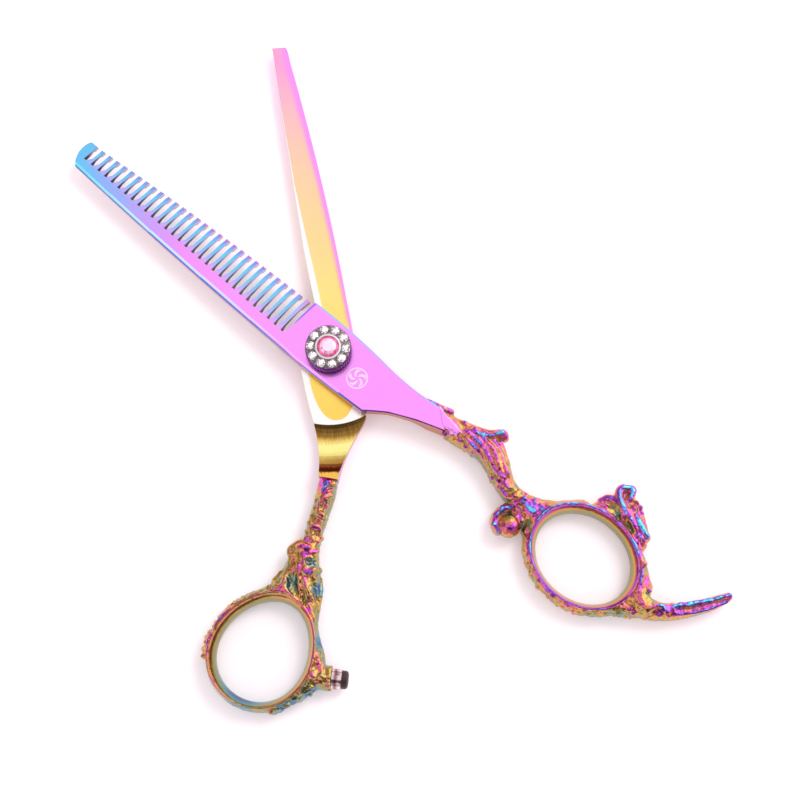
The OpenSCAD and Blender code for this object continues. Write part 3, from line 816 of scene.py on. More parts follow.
class Oval:
    """An egg-shaped hole: half width a, half length b, tilted in degrees, wider at its low end by egg."""

    def __init__(self, centre, a, b, tilt, egg=0.0):
        self.centre, self.a, self.b, self.egg = centre, a, b, egg
        self.c, self.s = math.cos(math.radians(tilt)), math.sin(math.radians(tilt))

    def outward(self, x, y):
        """Distance outside the oval, and the share across its width from -1 to 1."""
        u = (x - self.centre[0]) * self.c + (y - self.centre[1]) * self.s
        v = (y - self.centre[1]) * self.c - (x - self.centre[0]) * self.s
        wide = self.a * (1 - self.egg * v / self.b)
        f = np.sqrt((u / wide) ** 2 + (v / self.b) ** 2) + 1e-6
        steep = np.sqrt((u / wide ** 2) ** 2 + (v / self.b ** 2) ** 2) / f + 1e-6
        return (f - 1) / steep, u / self.a

    def point(self, angle, out):
        """The point a distance outside the oval, at an angle in degrees from its width axis."""
        t = math.radians(angle)
        v = self.b * math.sin(t)
        u = self.a * (1 - self.egg * v / self.b) * math.cos(t)
        nu, nv = math.cos(t) / self.a, math.sin(t) / self.b
        size = math.hypot(nu, nv)
        u, v = u + out * nu / size, v + out * nv / size
        return (self.centre[0] + u * self.c - v * self.s, self.centre[1] + u * self.s + v * self.c)

    def steps(self, first, last, spacing, out):
        """Angles that step evenly along the rim."""
        angle, made = first, []
        while angle < last:
            made.append(angle)
            x0, y0 = self.point(angle, out)
            x1, y1 = self.point(angle + 1, out)
            angle += spacing / max(math.hypot(x1 - x0, y1 - y0), 1e-6)
        return made


def from_line(q, z, q0, z0, q1, z1):
    """Distance from the line through two points of a band's section; positive on its left."""
    dq, dz = q1 - q0, z1 - z0
    return ((z - z0) * dq - (q - q0) * dz) / np.sqrt(dq * dq + dz * dz)


class Band:
    """The smooth metal round a finger hole: slanted inside, a crest on top, sloping outside."""

    def __init__(self, oval, width, crest):
        self.oval, self.width, self.crest = oval, width, crest

    def walls(self, work):
        """The grid's slices near the ring, the distances in front of its inner walls, and the rest of it."""
        reach = max(self.oval.a, self.oval.b) + self.width + 1.5
        centre = np.array(self.oval.centre)
        slices, (x, y, z) = work.window([*(centre - reach), LOW - 1], [*(centre + reach), HIGH + 1])
        q, share = self.oval.outward(x, y)
        top = self.crest[0] + (self.crest[1] - self.crest[0]) * (share + 1) / 2
        inner = smooth_max(from_line(q, z, 0.75, LOW, 0.0, MIDDLE - 0.6), -q, 0.5)
        inner = smooth_max(inner, from_line(q, z, 0.0, MIDDLE + 0.3, 0.48 * top, 1.75), 1.0)
        inner = smooth_max(inner, from_line(q, z, 0.42 * top, 1.75, top, HIGH), 0.8)
        outer = smooth_max(from_line(q, z, top, HIGH, self.width, 0.6), q - self.width, 0.8)
        outer = smooth_max(outer, from_line(q, z, self.width, -1.5, self.width - 0.9, LOW), 0.6)
        return slices, inner.astype(np.float32), outer.astype(np.float32)

    def build(self, work):
        slices, inner, outer = self.walls(work)
        work.join(slices, smooth_max(inner, outer, 0.45), 0.7)

    def clear(self, work):
        """Cuts everything that reaches into the hole back to the band's inner wall."""
        slices, inner, _ = self.walls(work)
        work.d[slices] = smooth_max(work.d[slices], inner, 0.25)


def scale_rows(work, oval, first, last, rows, spacing, radius, seed):
    """Staggered rows of round scales on the outside of a ring; rows are (distance out, height)."""
    random = np.random.default_rng(seed)
    for number, (out, height) in enumerate(rows):
        for angle in oval.steps(first + 1.5 * (number % 2), last, spacing, out):
            x, y = oval.point(angle + random.uniform(-1.2, 1.2), out + random.uniform(-0.15, 0.1))
            size = radius * random.uniform(0.7, 1.25)
            work.bead(x, y, height + random.uniform(-0.2, 0.2), size, 0.3,
                      (1.15, 0.9, 0.85), random.uniform(0, 180))


def rubble(work, count, low, high, seed, where):
    """Scattered low grains on the surface inside a box, where a test of x and y allows."""
    random = np.random.default_rng(seed)
    for _ in range(count):
        x, y = random.uniform(low[0], high[0]), random.uniform(low[1], high[1])
        if work.height(x, y) > 1.0 and where(x, y):
            work.pearl(x, y, random.uniform(0.35, 0.6), -0.05, blend=0.25, stretch=(1.3, 0.85, 0.8),
                       turn=random.uniform(0, 180))


def finger_neck(work):
    """The neck with the masses it runs into, a stub beside it, and flutes that run together down it."""
    work.limb([(2.9, -27, 2.2), (2.6, -30, 2.7), (2.6, -34, 2.55), (3.2, -38, 2.7), (3.2, -41, 2.85),
        (1.6, -45, 2.6), (-0.5, -48.5, 2.3), (-1.4, -52, 2.2), (-1.4, -56, 2.4), (-1.8, -59.6, 2.6)],
        1, 0.86)
    work.bar([(5.6, -39, -0.6, 1.8), (5.2, -41.5, -0.6, 1.6), (3.2, -45.4, -0.5, 1.4)], 0.8, 0.8)
    work.limb([(-1.5, -55, 1.8), (-5, -58.6, 1.9), (-9, -61, 1.6)], 1.2, 0.7)
    work.limb([(-0.6, -56, 1.9), (2, -60.4, 1.8), (5.6, -64.4, 1.6)], 1.2, 0.7)
    # the stub beside the neck
    work.bar([(4.4, -32, 0.4, 1), (4.9, -35, 0.8, 1.2), (5.7, -38, 1.1, 1.2), (7, -40.2, 1.2, 1.15),
              (8, -41.4, 1, 1.3), (7.8, -42.1, 0.2, 1.1)], 0.6)
    # the stub's ridge, with a cyan painted highlight line
    work.vein([(4.1, -34.6, 0.4), (4.9, -37.2, 0.5), (6, -39.6, 0.5), (7.2, -40.5, 0.5), (8.2, -41.2, 0.6)],
              0.15, 0.3, highlight_tint=-0.2)
    for x, y, r in ((5.2, -30.6, 0.8), (5.1, -33.4, 0.7), (3.5, -35, 0.6), (5.2, -35.9, 0.7),
                    (2, -33.4, 0.6), (1.2, -34.9, 0.6), (1, -36.6, 0.6), (0.9, -38.6, 0.55)):
        work.pearl(x, y, r, -0.05, blend=0.35)
    # flutes that run together down the neck
    for strand in (
            ((3.5, -35.6, 0.35), (3.4, -38.4, 0.5), (2.4, -41, 0.55), (0.9, -43.9, 0.5), (0, -46.4, 0.4)),
            ((4.6, -38.6, 0.4), (3.7, -42, 0.55), (1.9, -44.6, 0.5), (0.8, -46.7, 0.35)),
            ((2.4, -35.2, 0.3), (1.9, -38, 0.5), (1.3, -40.8, 0.5), (0, -43.6, 0.45), (-1.1, -45.4, 0.4)),
            ((5.6, -40.6, 0.5), (4.6, -43, 0.55), (2.8, -45.4, 0.5), (1.3, -47.6, 0.4)),
            ((6.6, -41.8, 0.5), (5.2, -43.8, 0.5), (3.6, -45.8, 0.4))):
        work.vein([(x, y, r * 1.2) for x, y, r in strand], 0, 0.25)
    for x, y, r in ((-1, -46.6, 0.6), (-1.3, -45.4, 0.5), (1.5, -47.4, 0.6), (0.2, -47.4, 0.5),
            (2.4, -47, 0.5), (-2, -47.6, 0.5)):
        work.pearl(x, y, r, 0, blend=0.25)
    work.vein([(-0.4, -48.1, 0.35), (-1.1, -49, 0.42), (-0.5, -50, 0.42), (0.4, -49.6, 0.35)], 0.15, 0.2)
    work.pearl(-0.4, -49, 0.4, 0.2, blend=0.1)
    work.vein([(-2.2, -48.6, 0.5), (-2.5, -50.2, 0.6), (-1.6, -51.6, 0.7), (0.1, -51.6, 0.6)], 0.1, 0.35)
    work.vein([(-2.6, -52.4, 0.5), (-1.6, -53.8, 0.55), (-2.3, -56, 0.5)], 0.1, 0.35)


def finger_curl(work):
    """A ball held by a knobbly arc, beside the neck."""
    arc = [(-3, -53.2), (-4.3, -51.7), (-6.2, -50.9), (-8.2, -51.2), (-9.3, -52.9)]
    work.bar([(x, y, MIDDLE, 1.2) for x, y in arc], 0.5, 0.6)
    work.bar([(x, y, 1, 0.7) for x, y in arc], 0.3)
    # a cyan painted highlight line along the arc
    work.highlight_tint(arc[1:], 0.6, -0.2)
    for i, (x, y) in enumerate(((-9.7, -53.4), (-9.1, -51.5), (-7.3, -50.5), (-5.2, -50.9), (-3.9, -52.4))):
        work.bead(x, y, 1.3, 0.65 + 0.1 * (i % 2), 0.3)
    work.bead(-4.6, -55, -0.2, 2, 0.5)
    for x, y in ((-4.9, -57.2), (-6.2, -57.8), (-3.8, -56.4), (-4, -54.6)):
        work.bead(x, y, -0.8, 1, 0.4, (1, 1, 1.6))


def finger_scales(work, hole):
    """Scales where the neck spreads into the ring, and round the ring up to its crest."""
    rubble(work, 90, (-6.5, -61.5), (4.5, -52.5), 7, lambda x, y: hole.outward(x, y)[0] > 1.6)
    rows = [(2, 1.7), (2.4, 0.8), (2.55, -0.1), (2.5, -1.1), (2.2, -2.1), (1.8, -2.8)]
    scale_rows(work, hole, 60, 256, rows, 1, 0.56, 3)
    scale_rows(work, hole, 300, 342, rows, 1, 0.56, 4)
    scale_rows(work, hole, 30, 60, rows[1:], 1, 0.56, 5)
    crest = [(*hole.point(a, 1.55 + 0.25 * math.cos(math.radians(a))), 0.34 + 0.1 * math.sin(a * 0.31))
             for a in range(-58, 240, 8)]
    # the ring's crest, with a cyan painted highlight line
    work.vein(crest, -0.1, 0.3, highlight_tint=-0.2)


def finger_head(work):
    """The head beside the ring: ear, curled horns, brow, snout and jaw."""
    work.limb([(7.4, -67.6, 1.6), (9, -71, 2.1), (9.6, -74.4, 2.1),
              (8.2, -77.6, 1.6), (6.6, -79.4, 1.3)], 0.7, 0.75)
    work.bar([(11.4, -71.2, -0.9, 1.7), (11.9, -74, -0.7, 1.5), (10, -77.2, -0.4, 1.1),
              (8.4, -79.6, 0, 0.8)], 0.5, 0.75)
    work.bar([(11, -69.8, -1, 1.3), (13.4, -70.2, -1.2, 1.4), (14.6, -70.2, -1, 1.1)], 0.6, 0.7)
    work.bar([(9.8, -73.4, 1.6, 0.75), (10.9, -71.2, 1.7, 0.8), (12.1, -69.6, 1.3, 0.85),
        (13.1, -68.9, 0.9, 0.95), (14.3, -69.2, 0.8, 0.85), (14.5, -70.2, 0.7, 0.7)], 0.3, 0.85)
    work.bar([(12.6, -71.9, 0.6, 0.85), (14.2, -71.6, 0.5, 0.85), (15.3, -71.1, 0.6, 0.75),
        (15.1, -70.3, 0.8, 0.6)], 0.3, 0.85)
    # cyan painted highlight lines along the head's ridges
    work.highlight_tint([(9.8, -73.4), (12.1, -69.6), (13.1, -68.9), (14.3, -69.2)], 0.6, -0.28)
    work.highlight_tint([(14.2, -71.6), (15.3, -71.1), (15.1, -70.3)], 0.6, -0.28)
    work.highlight_tint([(10.5, -67.9), (10.8, -69.6), (10, -71.4)], 0.5, -0.15)
    work.highlight_tint([(10.6, -74.9), (9.6, -76.8), (8.4, -79.4)], 0.6, -0.3)
    work.bar([(9, -66.9, 0.2, 0.8), (10.5, -67.9, 0.6, 0.85), (10.8, -69.6, 1.2, 0.75),
        (10, -71.4, 1.7, 0.65), (9, -73.2, 1.7, 0.55)], 0.3)
    work.vein([(9.4, -68.8, 0.6), (8.7, -70.4, 0.7), (7.9, -72.2, 0.55)], 0.2, 0.3, cut=True)
    work.pearl(11.6, -73.6, 0.85, 0.1, blend=0.25)
    work.bar([(10.6, -74.9, 1.9, 0.65), (9.6, -76.8, 1.9, 0.65), (8.4, -79.4, 1.5, 0.6)], 0.25)
    work.vein([(9.3, -74.3, 0.6), (8.5, -75.7, 0.65), (7.9, -76.9, 0.45)], 0.1, 0.25)
    work.vein([(8.7, -72.4, 0.4), (7.5, -74.9, 0.45), (6.4, -77.6, 0.45), (5.4, -79.8, 0.4)], 0.1, 0.3)
    work.vein([(7.2, -76.8, 0.4), (7.5, -78.2, 0.5), (7.1, -79.5, 0.45)], 0.15, 0.25)
    for x, y, r in ((13.3, -73.4, 0.65), (13, -74.7, 0.6), (12.1, -75.8, 0.55), (11.1, -76.9, 0.5)):
        work.bead(x, y, 0.2, r, 0.3, (1, 1, 2.2))


def finger_rest(work, hole):
    """The long rest for the little finger, ridged along its top."""
    work.bar([(-0.8, -82, MIDDLE, 2.3), (-3.2, -84.6, MIDDLE, 2.7), (-4, -87.6, MIDDLE, 2.4),
              (-2.4, -91.4, MIDDLE, 1.95), (0.8, -95, MIDDLE, 1.7), (4.7, -98.3, MIDDLE, 1.5),
              (8.4, -100.6, 0, 1.05)], 0.9, 0.74)
    work.limb([(-8.4, -82.2, 1.2), (-6.6, -84.8, 1.6), (-5, -87.6, 1.3)], 0.9, 0.6)
    work.limb([(3.4, -81, 1.4), (1.2, -83, 1.7), (-0.6, -85.4, 1.6)], 0.9, 0.7)
    # the top ridge, with a cyan painted highlight line
    work.vein([(-1.9, -90.4, 0.45), (-0.6, -92.2, 0.55), (1.4, -94.1, 0.6), (4.4, -96.9, 0.55),
        (7, -99.1, 0.5), (8.9, -100.5, 0.45)], 0.1, 0.3, highlight_tint=-0.26)
    work.vein([(-1.6, -93.8, 0.4), (1.2, -96.6, 0.45), (4.2, -99.1, 0.45), (7.2, -100.9, 0.35)], 0.05, 0.3)
    work.vein([(-0.9, -92.9, 0.3), (1.2, -95.4, 0.4), (4.3, -98.1, 0.35), (7.2, -100.2, 0.3)],
        0.1, 0.25, cut=True)
    work.vein([(-2.1, -84.2, 0.55), (-3.3, -85.3, 0.6), (-4.4, -86.8, 0.6), (-4, -88.2, 0.6),
        (-2.8, -88.9, 0.55)], 0.2, 0.3)
    work.vein([(-2.5, -89.3, 0.45), (-1.9, -90.4, 0.45), (-2.7, -91.4, 0.4)], 0.1, 0.25)
    work.vein([(4.9, -80, 0.5), (2.8, -81.6, 0.55), (0.4, -83.2, 0.5), (-2.6, -83.6, 0.45)], 0.1, 0.35)
    rubble(work, 120, (-10, -93), (5, -81), 9, lambda x, y: hole.outward(x, y)[0] > 2.2)
    for i in range(14):
        share = i / 13
        work.bead(-8.6 + 8.6 * share, -84.2 - 11.4 * share ** 0.9, -0.6 + 0.8 * math.sin(i * 2.1),
                  0.6 + 0.1 * math.sin(i * 1.3), 0.3, (1, 1, 1.3))


def finger_tongue(work):
    """The flat tongue that carries on the blade's face, and the leaf over the blade's edge."""
    slices, (x, y, z) = work.window((-2, -36, -1), (7, -25, 4))
    side = np.abs(x - 2.6) - (y + 34.8) * 0.25
    work.carve(slices, smooth_max(2.83 - z, side, 0.05).astype(np.float32), 0.1)
    tongue = smooth_max(z - 2.83, side, 0.12)
    work.join(slices, smooth_max(tongue, -1 - z, 0.3).astype(np.float32), 0.12)
    # the slanted end that meets the blade
    slices, (x, y, z) = work.window((-4, -34, -5), (8, -20, 5))
    work.d[slices] = np.maximum(work.d[slices], ((y + 30.7) * 3.7 - (x - 0.75) * 3.85) / 5.34)
    work.bar([(4.25, -23.6, 1.9, 0.35), (4.4, -25.2, 1.9, 0.55), (4.6, -27, 1.7, 0.75),
        (5.2, -29.4, 1.2, 0.9)], 0.3)
    work.bead(4.9, -27.9, 2.3, 0.5, 0.25)
    work.bead(0.6, -31.3, 1.6, 0.8, 0.3)
    work.bead(1.2, -32.4, 2.1, 0.6, 0.3)


def finger_handle():
    """The finger half's casting: fluted neck, curl, scaled ring, horned head and a long rest."""
    work = Sculpture((-17, -104, -4), (18, -22.5, 4), FINGER_CELL)
    hole = Oval((-3.3, -71.05), 8.7, 10.7, -2.8)
    band = Band(hole, 2.5, (1.35, 1.9))
    band.build(work)
    finger_neck(work)
    finger_curl(work)
    finger_scales(work, hole)
    finger_head(work)
    finger_rest(work, hole)
    work.melt()
    work.ripple(0.06, hole)
    # the curl's ball stays smooth, and a dimple takes the bumper when the shears close
    work.bead(-7.3, -54.2, 0.6, 2.6, 0.2)
    work.bead(-16.7, -69, MIDDLE, 2.75, 0.25, cut=True)
    finger_tongue(work)
    band.clear(work)
    work.trim(LOW, HIGH + 0.35)
    return work, hole


def thumb_masses(work):
    """The neck, the head, and the web that joins them to the ring and the boss."""
    work.limb([(-4.5, -27.6, 2), (-5.1, -29.6, 2.15), (-6.1, -32, 2.15), (-7.6, -35, 2.05), (-9, -37.8, 2),
        (-10.2, -40.4, 2), (-11.6, -43, 2.5)], 0.8, 0.84)
    work.limb([(-11.6, -42, 2.3), (-12.2, -45.4, 2.9), (-12.2, -49.4, 2.5),
              (-12.6, -53.4, 2), (-13.2, -57.6, 1.4)], 0.8, 0.86)
    work.limb([(-13.8, -43.4, 1.8), (-15.6, -46.8, 2.3), (-18.6, -49.4, 2.1),
              (-22.6, -50.3, 1.5), (-26.4, -51.2, 1.2)], 1, 0.76)
    work.limb([(-14.2, -50, 2.2), (-16, -52, 2)], 1, 0.76)
    work.bar([(-13.4, -57, -0.4, 1.2), (-13.2, -61, -0.8, 1.3), (-12.8, -65, -0.6, 1.7),
        (-14.4, -69.2, MIDDLE, 2), (-18, -72, MIDDLE, 1.6)], 1, 0.72)


def thumb_neck(work):
    """Folds and knots down the neck."""
    work.vein([(-5.6, -28.6, 0.5), (-4.4, -28.5, 0.45), (-3.4, -28.6, 0.3)], 0.1, 0.3)
    work.vein([(-6.2, -30.2, 0.45), (-4.8, -29.4, 0.5), (-3.2, -29.2, 0.35)], 0.2, 0.25)
    work.vein([(-6.8, -31.6, 0.4), (-5.4, -30.6, 0.5), (-3.8, -30.3, 0.4)], 0.2, 0.25)
    work.vein([(-6.3, -30.9, 0.3), (-4.9, -30, 0.35), (-3.6, -29.8, 0.3)], 0.1, 0.25, cut=True)
    work.vein([(-4.6, -31.6, 0.5), (-5.9, -31.9, 0.6), (-7.1, -33, 0.6), (-7.7, -34.2, 0.5)], 0.1, 0.3)
    work.vein([(-6, -33.3, 0.5), (-6.6, -34.3, 0.4)], 0.15, 0.3, cut=True)
    work.vein([(-5.6, -32.6, 0.4), (-6.1, -34.2, 0.45), (-7.6, -35.2, 0.45)], 0.1, 0.25)
    work.pearl(-7.3, -35.4, 0.9, -0.1, blend=0.4, stretch=(1.3, 0.9, 0.8), turn=-30)
    work.vein([(-7.8, -36.9, 0.4), (-6.9, -36.6, 0.5), (-6.2, -35.9, 0.45)], 0.15, 0.25)
    work.vein([(-10.2, -38, 0.5), (-9.2, -37.5, 0.55), (-8, -38.2, 0.5), (-8.1, -39.2, 0.4)], 0.15, 0.25)
    for x, y, r in ((-8.9, -38.6, 0.5), (-9.9, -39.1, 0.6), (-11.2, -39.8, 0.7), (-9.9, -40.3, 0.65),
            (-8.2, -40, 0.7), (-8.9, -41, 0.6), (-10.9, -38.3, 0.6), (-10.2, -36.4, 0.5),
            (-9.4, -35.2, 0.45), (-8.6, -33.6, 0.45), (-7.9, -31.9, 0.4)):
        work.pearl(x, y, r, 0, blend=0.25)


def thumb_head(work):
    """Brow, crest, eye, nose and whiskers."""
    work.vein([(-13.6, -41.6, 0.8), (-12.4, -41.6, 0.9), (-11.2, -42, 0.8)], 0, 0.4)
    work.bar([(-12.6, -42.8, 1.8, 0.7), (-11.2, -43, 2.1, 0.65), (-9.6, -43, 1.7, 0.75)], 0.3)
    work.bar([(-11.6, -40.6, 0.9, 1), (-13.4, -40.8, 0.9, 0.95), (-14.9, -41.7, 0.9, 0.85),
        (-15, -43.4, 1.2, 0.75), (-15.5, -45.6, 1.4, 0.6), (-14.6, -48.4, 1.6, 0.5)], 0.35)
    work.vein([(-13.9, -42.7, 0.6), (-13.7, -44, 0.65), (-13.3, -45, 0.45)], 0.3, 0.3, cut=True)
    work.pearl(-11.4, -45, 0.75, 0.15, blend=0.3, cut=True)
    work.pearl(-11.5, -45.1, 0.42, -0.15, blend=0.1)
    work.pearl(-10, -45.3, 0.6, 0.1, blend=0.3, cut=True)
    work.vein([(-12.6, -46.6, 0.65), (-11.6, -47.3, 0.75), (-10.4, -46.7, 0.55), (-9.6, -46.9, 0.65)],
        0.15, 0.3)
    work.bead(-9.7, -47, 0.4, 0.85, 0.3, (1, 1, 1.4))
    work.vein([(-13.6, -45.4, 0.5), (-14, -48.5, 0.55), (-14.2, -52.2, 0.5), (-15, -54.4, 0.4)], 0.1, 0.3)
    work.vein([(-15.9, -46.6, 0.5), (-15.5, -49, 0.75), (-15.1, -51.4, 0.5)], 0.35, 0.4, cut=True)
    work.vein([(-17, -47.6, 0.5), (-17.4, -49.4, 0.6), (-16.4, -51.4, 0.5)], 0, 0.35)
    work.vein([(-17.6, -46, 0.45), (-19.4, -47.6, 0.55), (-19, -48.8, 0.5), (-17.9, -49.2, 0.4)], 0.1, 0.25)
    work.vein([(-12.9, -48.6, 0.45), (-12.6, -50.4, 0.55), (-12, -52.6, 0.6)], 0.15, 0.25)
    work.vein([(-13, -53.6, 0.5), (-12.5, -55.4, 0.6), (-12.2, -57.2, 0.55)], 0.2, 0.25)
    work.pearl(-11.9, -52.9, 0.6, 0.1, blend=0.2)
    work.vein([(-11.4, -48.4, 0.45), (-11, -50.6, 0.5), (-10.9, -53.6, 0.45)], 0.2, 0.3, cut=True)
    work.vein([(-12.2, -49.8, 0.3), (-11.8, -51.6, 0.3)], 0.2, 0.25, cut=True)
    work.bar([(-9.9, -48.8, -0.2, 0.7), (-10, -50.8, -0.2, 0.75), (-10.8, -53.6, -0.3, 0.7),
        (-11.8, -57.2, -0.4, 0.5)], 0.35)
    for x, y in ((-18.3, -50), (-16.8, -52.2), (-14.2, -53.4), (-14.4, -54.9), (-20.6, -48.7), (-20, -49.9)):
        work.pearl(x, y, 0.55, 0.05, blend=0.2)


def thumb_ring(work, hole):
    """Crests and scales round the ring."""
    for first, last, out in ((96, 126, 2.2), (132, 158, 2.2), (162, 186, 2.2), (192, 206, 2.1)):
        middle = (first + last) / 2
        ridge = [(*hole.point(a, out), 0.55 - 0.02 * abs(a - middle)) for a in range(first, last + 1, 4)]
        work.vein(ridge, -0.05, 0.35)
    work.vein([(*hole.point(a, 1.45), 0.36) for a in range(-12, 66, 6)], 0, 0.3)
    rows = [(2.5, 1.3), (2.75, 0.4), (2.7, -0.6), (2.5, -1.6), (2.1, -2.6)]
    scale_rows(work, hole, 92, 214, rows, 1.25, 0.6, 12)
    scale_rows(work, hole, -52, -4, rows, 1.05, 0.55, 13)


def thumb_handle():
    """The thumb half's casting: a knotted neck, a crested head, a ring and the bumper's boss."""
    work = Sculpture((-39, -77, -4), (-1, -25, 4), THUMB_CELL)
    hole = Oval((-23.6, -61.6), 9.1, 10.6, -40, 0.1)
    band = Band(hole, 2.6, (2.1, 1.4))
    band.build(work)
    thumb_masses(work)
    thumb_neck(work)
    thumb_head(work)
    thumb_ring(work, hole)
    # boss round the bumper's stud: its axis runs through the middle of the boss's end
    c, s = math.cos(BUMPER_TURN), math.sin(BUMPER_TURN)
    end_x, end_y = -10.5, -69.8
    slices, (x, y, z) = work.window((-19, -77, -4), (-7, -63, 4))
    along = (x - end_x) * c + (y - end_y) * s
    across = (y - end_y) * c - (x - end_x) * s
    around = np.sqrt(across ** 2 + (z - MIDDLE) ** 2)
    boss = smooth_max(around - (2.8 + along * 0.12), along, 0.3)
    work.join(slices, smooth_max(boss, -5 - along, 0.5).astype(np.float32), 0.7)
    rubble(work, 60, (-18, -74), (-11.2, -63), 15, lambda x, y: hole.outward(x, y)[0] > 1.9)
    work.melt()
    work.ripple(0.05, hole)
    # the stud's bore, and the slanted end that meets the blade
    bore = smooth_max(around - 1.46, along - 1, 0.05)
    work.carve(slices, smooth_max(bore, -3.2 - along, 0.05), 0.05)
    slices, (x, y, z) = work.window((-10, -31, -5), (1, -24, 5))
    work.d[slices] = np.maximum(work.d[slices], ((y + 27) * 4 + (x + 6.5) * 1.4) / 4.24)
    band.clear(work)
    work.trim(LOW, HIGH + 0.35)
    return work, hole


# ---------- stage, light and camera ----------

VIEW_AZIMUTH = math.radians(-31.38)
VIEW_ELEVATION = 77.0
VIEW_DISTANCE = 0.318
LOOK_AT = Vector((0.00796, -0.01698, RIDE_Z * MM))


def toward(turn, elevation):
    """The direction at an angle round from the viewer, and at an elevation, both in degrees."""
    azimuth, rise = VIEW_AZIMUTH + math.radians(turn), math.radians(elevation)
    return Vector((math.sin(azimuth) * math.cos(rise), -math.cos(azimuth) * math.cos(rise), math.sin(rise)))


LAMP_DIRECTION = toward(128, 52)


def camera():
    """A long lens almost straight above."""
    data = bpy.data.cameras.new("camera")
    data.lens, data.sensor_width = 65.05, 36
    data.clip_start, data.clip_end = 0.01, 20
    made = bpy.data.objects.new("camera", data)
    bpy.context.scene.collection.objects.link(made)
    back = toward(0, VIEW_ELEVATION)
    made.location = LOOK_AT + back * VIEW_DISTANCE
    made.rotation_mode = "QUATERNION"
    made.rotation_quaternion = (-back).to_track_quat("-Z", "Y")
    bpy.context.scene.camera = made


def floor():
    """A sheet of pale paper, just under the lowest point."""
    data = bpy.data.meshes.new("floor")
    size = 3.0
    corners = [(-size, -size, 0), (size, -size, 0), (size, size, 0), (-size, size, 0)]
    data.from_pydata(corners, [], [(0, 1, 2, 3)])
    s = Shader("paper")
    grain = s.grain(400.0)
    s.set(Base_Color=s.mix(grain, "#f6eef2", "#f8f1f4"), Roughness=0.9)
    s.principled.inputs["Specular IOR Level"].default_value = 0.0
    s.principled.inputs["Emission Color"].default_value = (1.0, 1.0, 1.0, 1)
    s.principled.inputs["Emission Strength"].default_value = 0.14
    data.materials.append(s.material)
    made = bpy.data.objects.new("floor", data)
    made.location.z = min(cad_low.z, 0.0) - 0.00002
    bpy.context.scene.collection.objects.link(made)


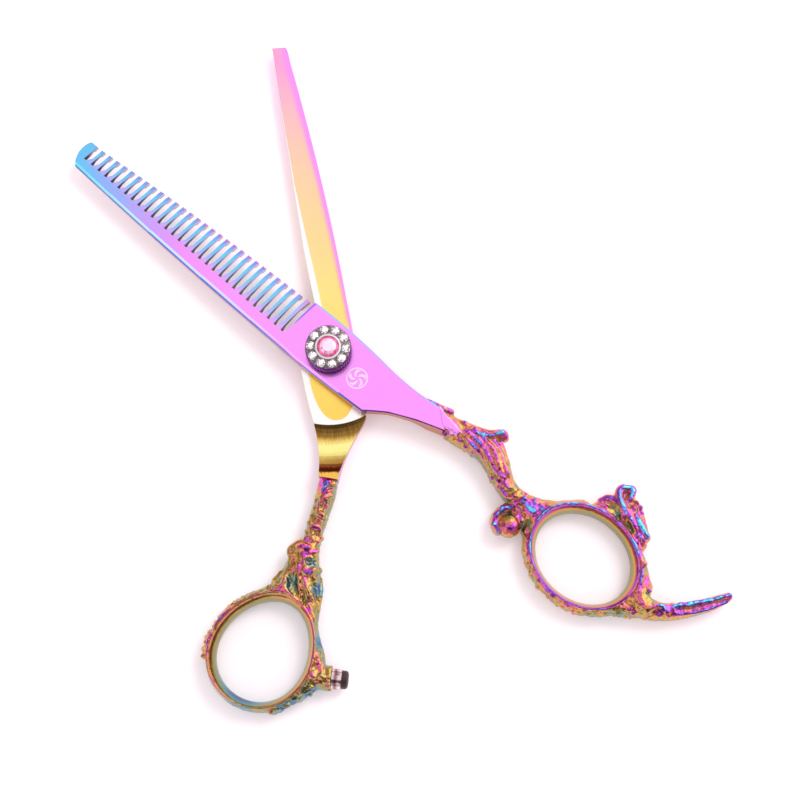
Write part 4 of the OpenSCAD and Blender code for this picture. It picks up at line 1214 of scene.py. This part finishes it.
def studio():
    """A pale room with bright and dark zones for the metal to mirror, and one soft lamp."""
    world = bpy.data.worlds.new("studio")
    bpy.context.scene.world = world
    world.use_nodes = True
    tree = world.node_tree
    background = tree.nodes["Background"]
    place = tree.nodes.new("ShaderNodeTexCoord")

    def zone(direction, inner, outer):
        """1 within an angle of a direction, 0 beyond a larger one."""
        dot = tree.nodes.new("ShaderNodeVectorMath")
        dot.operation = "DOT_PRODUCT"
        tree.links.new(place.outputs["Generated"], dot.inputs[0])
        dot.inputs[1].default_value = direction.normalized()
        step = tree.nodes.new("ShaderNodeMapRange")
        step.interpolation_type = "SMOOTHSTEP"
        tree.links.new(dot.outputs["Value"], step.inputs["Value"])
        step.inputs["From Min"].default_value = math.cos(math.radians(outer))
        step.inputs["From Max"].default_value = math.cos(math.radians(inner))
        return step.outputs["Result"]

    def mixed(share, first, second):
        made = tree.nodes.new("ShaderNodeMix")
        made.data_type = "RGBA"
        tree.links.new(share, made.inputs["Factor"])
        for socket, value in (("A", first), ("B", second)):
            if isinstance(value, tuple):
                made.inputs[socket].default_value = value
            else:
                tree.links.new(value, made.inputs[socket])
        return made.outputs["Result"]

    # from the horizon's colour up: each zone's direction, inner and outer angle, and colour
    room = (0.58, 0.54, 0.56, 1)
    for direction, inner, outer, colour in (
            (toward(0, 90), 40, 68, (0.24, 0.22, 0.24, 1)),
            (toward(128, 24), 20, 50, (2.2, 2.15, 2.2, 1)),
            (toward(-46, 32), 18, 34, (1.2, 1.2, 1.25, 1)),
            (toward(180, 77), 27, 36, (1.02, 1.0, 1.01, 1)),
            (toward(0, 62), 12, 24, (0.1, 0.08, 0.09, 1)),
            (LAMP_DIRECTION, 9, 13, (2.4, 2.4, 2.4, 1))):
        room = mixed(zone(direction, inner, outer), room, colour)
    # matt surfaces get an even light, and the camera sees a white backdrop
    path = tree.nodes.new("ShaderNodeLightPath")
    for ray, colour in (("Is Diffuse Ray", (1.02, 0.96, 0.99, 1)), ("Is Camera Ray", (1, 1, 1, 1))):
        room = mixed(path.outputs[ray], room, colour)
    tree.links.new(room, background.inputs["Color"])
    lamp_data = bpy.data.lights.new("lamp", "AREA")
    lamp_data.size = 0.34
    lamp_data.energy = 2.4
    lamp = bpy.data.objects.new("lamp", lamp_data)
    lamp.location = LAMP_DIRECTION * 0.8
    lamp.visible_glossy = False
    lamp.rotation_mode = "QUATERNION"
    lamp.rotation_quaternion = (-LAMP_DIRECTION).to_track_quat("-Z", "Y")
    bpy.context.scene.collection.objects.link(lamp)
    settings = bpy.context.scene.view_settings
    settings.view_transform = "Standard"
    settings.look = "None"


# ---------- the object ----------

def casting(node, sculpted, turn, body, **film_settings):
    """Turns a sculpted handle into a mesh that stands for its CAD node."""
    work, hole = sculpted
    vertices, faces, relief = work.skin()
    film = film_of(work, hole, vertices, relief, **film_settings)
    mesh_piece(node + "_cast", vertices, faces, turn, cast_titanium(node + "_film", turn), body, [node], film)


finish_node("comb_blade", comb_titanium())
finish_node("straight_blade", straight_titanium())
finish_node("tension_dial", knurled_steel())
finish_node("stone_setting", setting_metal())
finish_node("bumper_ferrule", chrome())
finish_node("bumper_tip", rubber())
finish_node("pivot_bushing", bronze())
finish_node("friction_washer", milky_plastic())
steel = plain_steel()
for name in ("pivot_bolt", "thrust_washer", "click_spring"):
    finish_node(name, steel)

casting("finger_handle", finger_handle(), COMB, "finger_half", start=0.25, swing=2.4,
        spots=FINGER_SPOTS, crest=0.05, rim=0.95, sweep=(0.06, 20), tongue=34.5)
casting("thumb_handle", thumb_handle(), STRAIGHT, "thumb_half", start=0.48, swing=1.8,
        spots=THUMB_SPOTS, crest=0.42, rim=0.94, sweep=(0.5, 236))
stones()
camera()
floor()
studio()
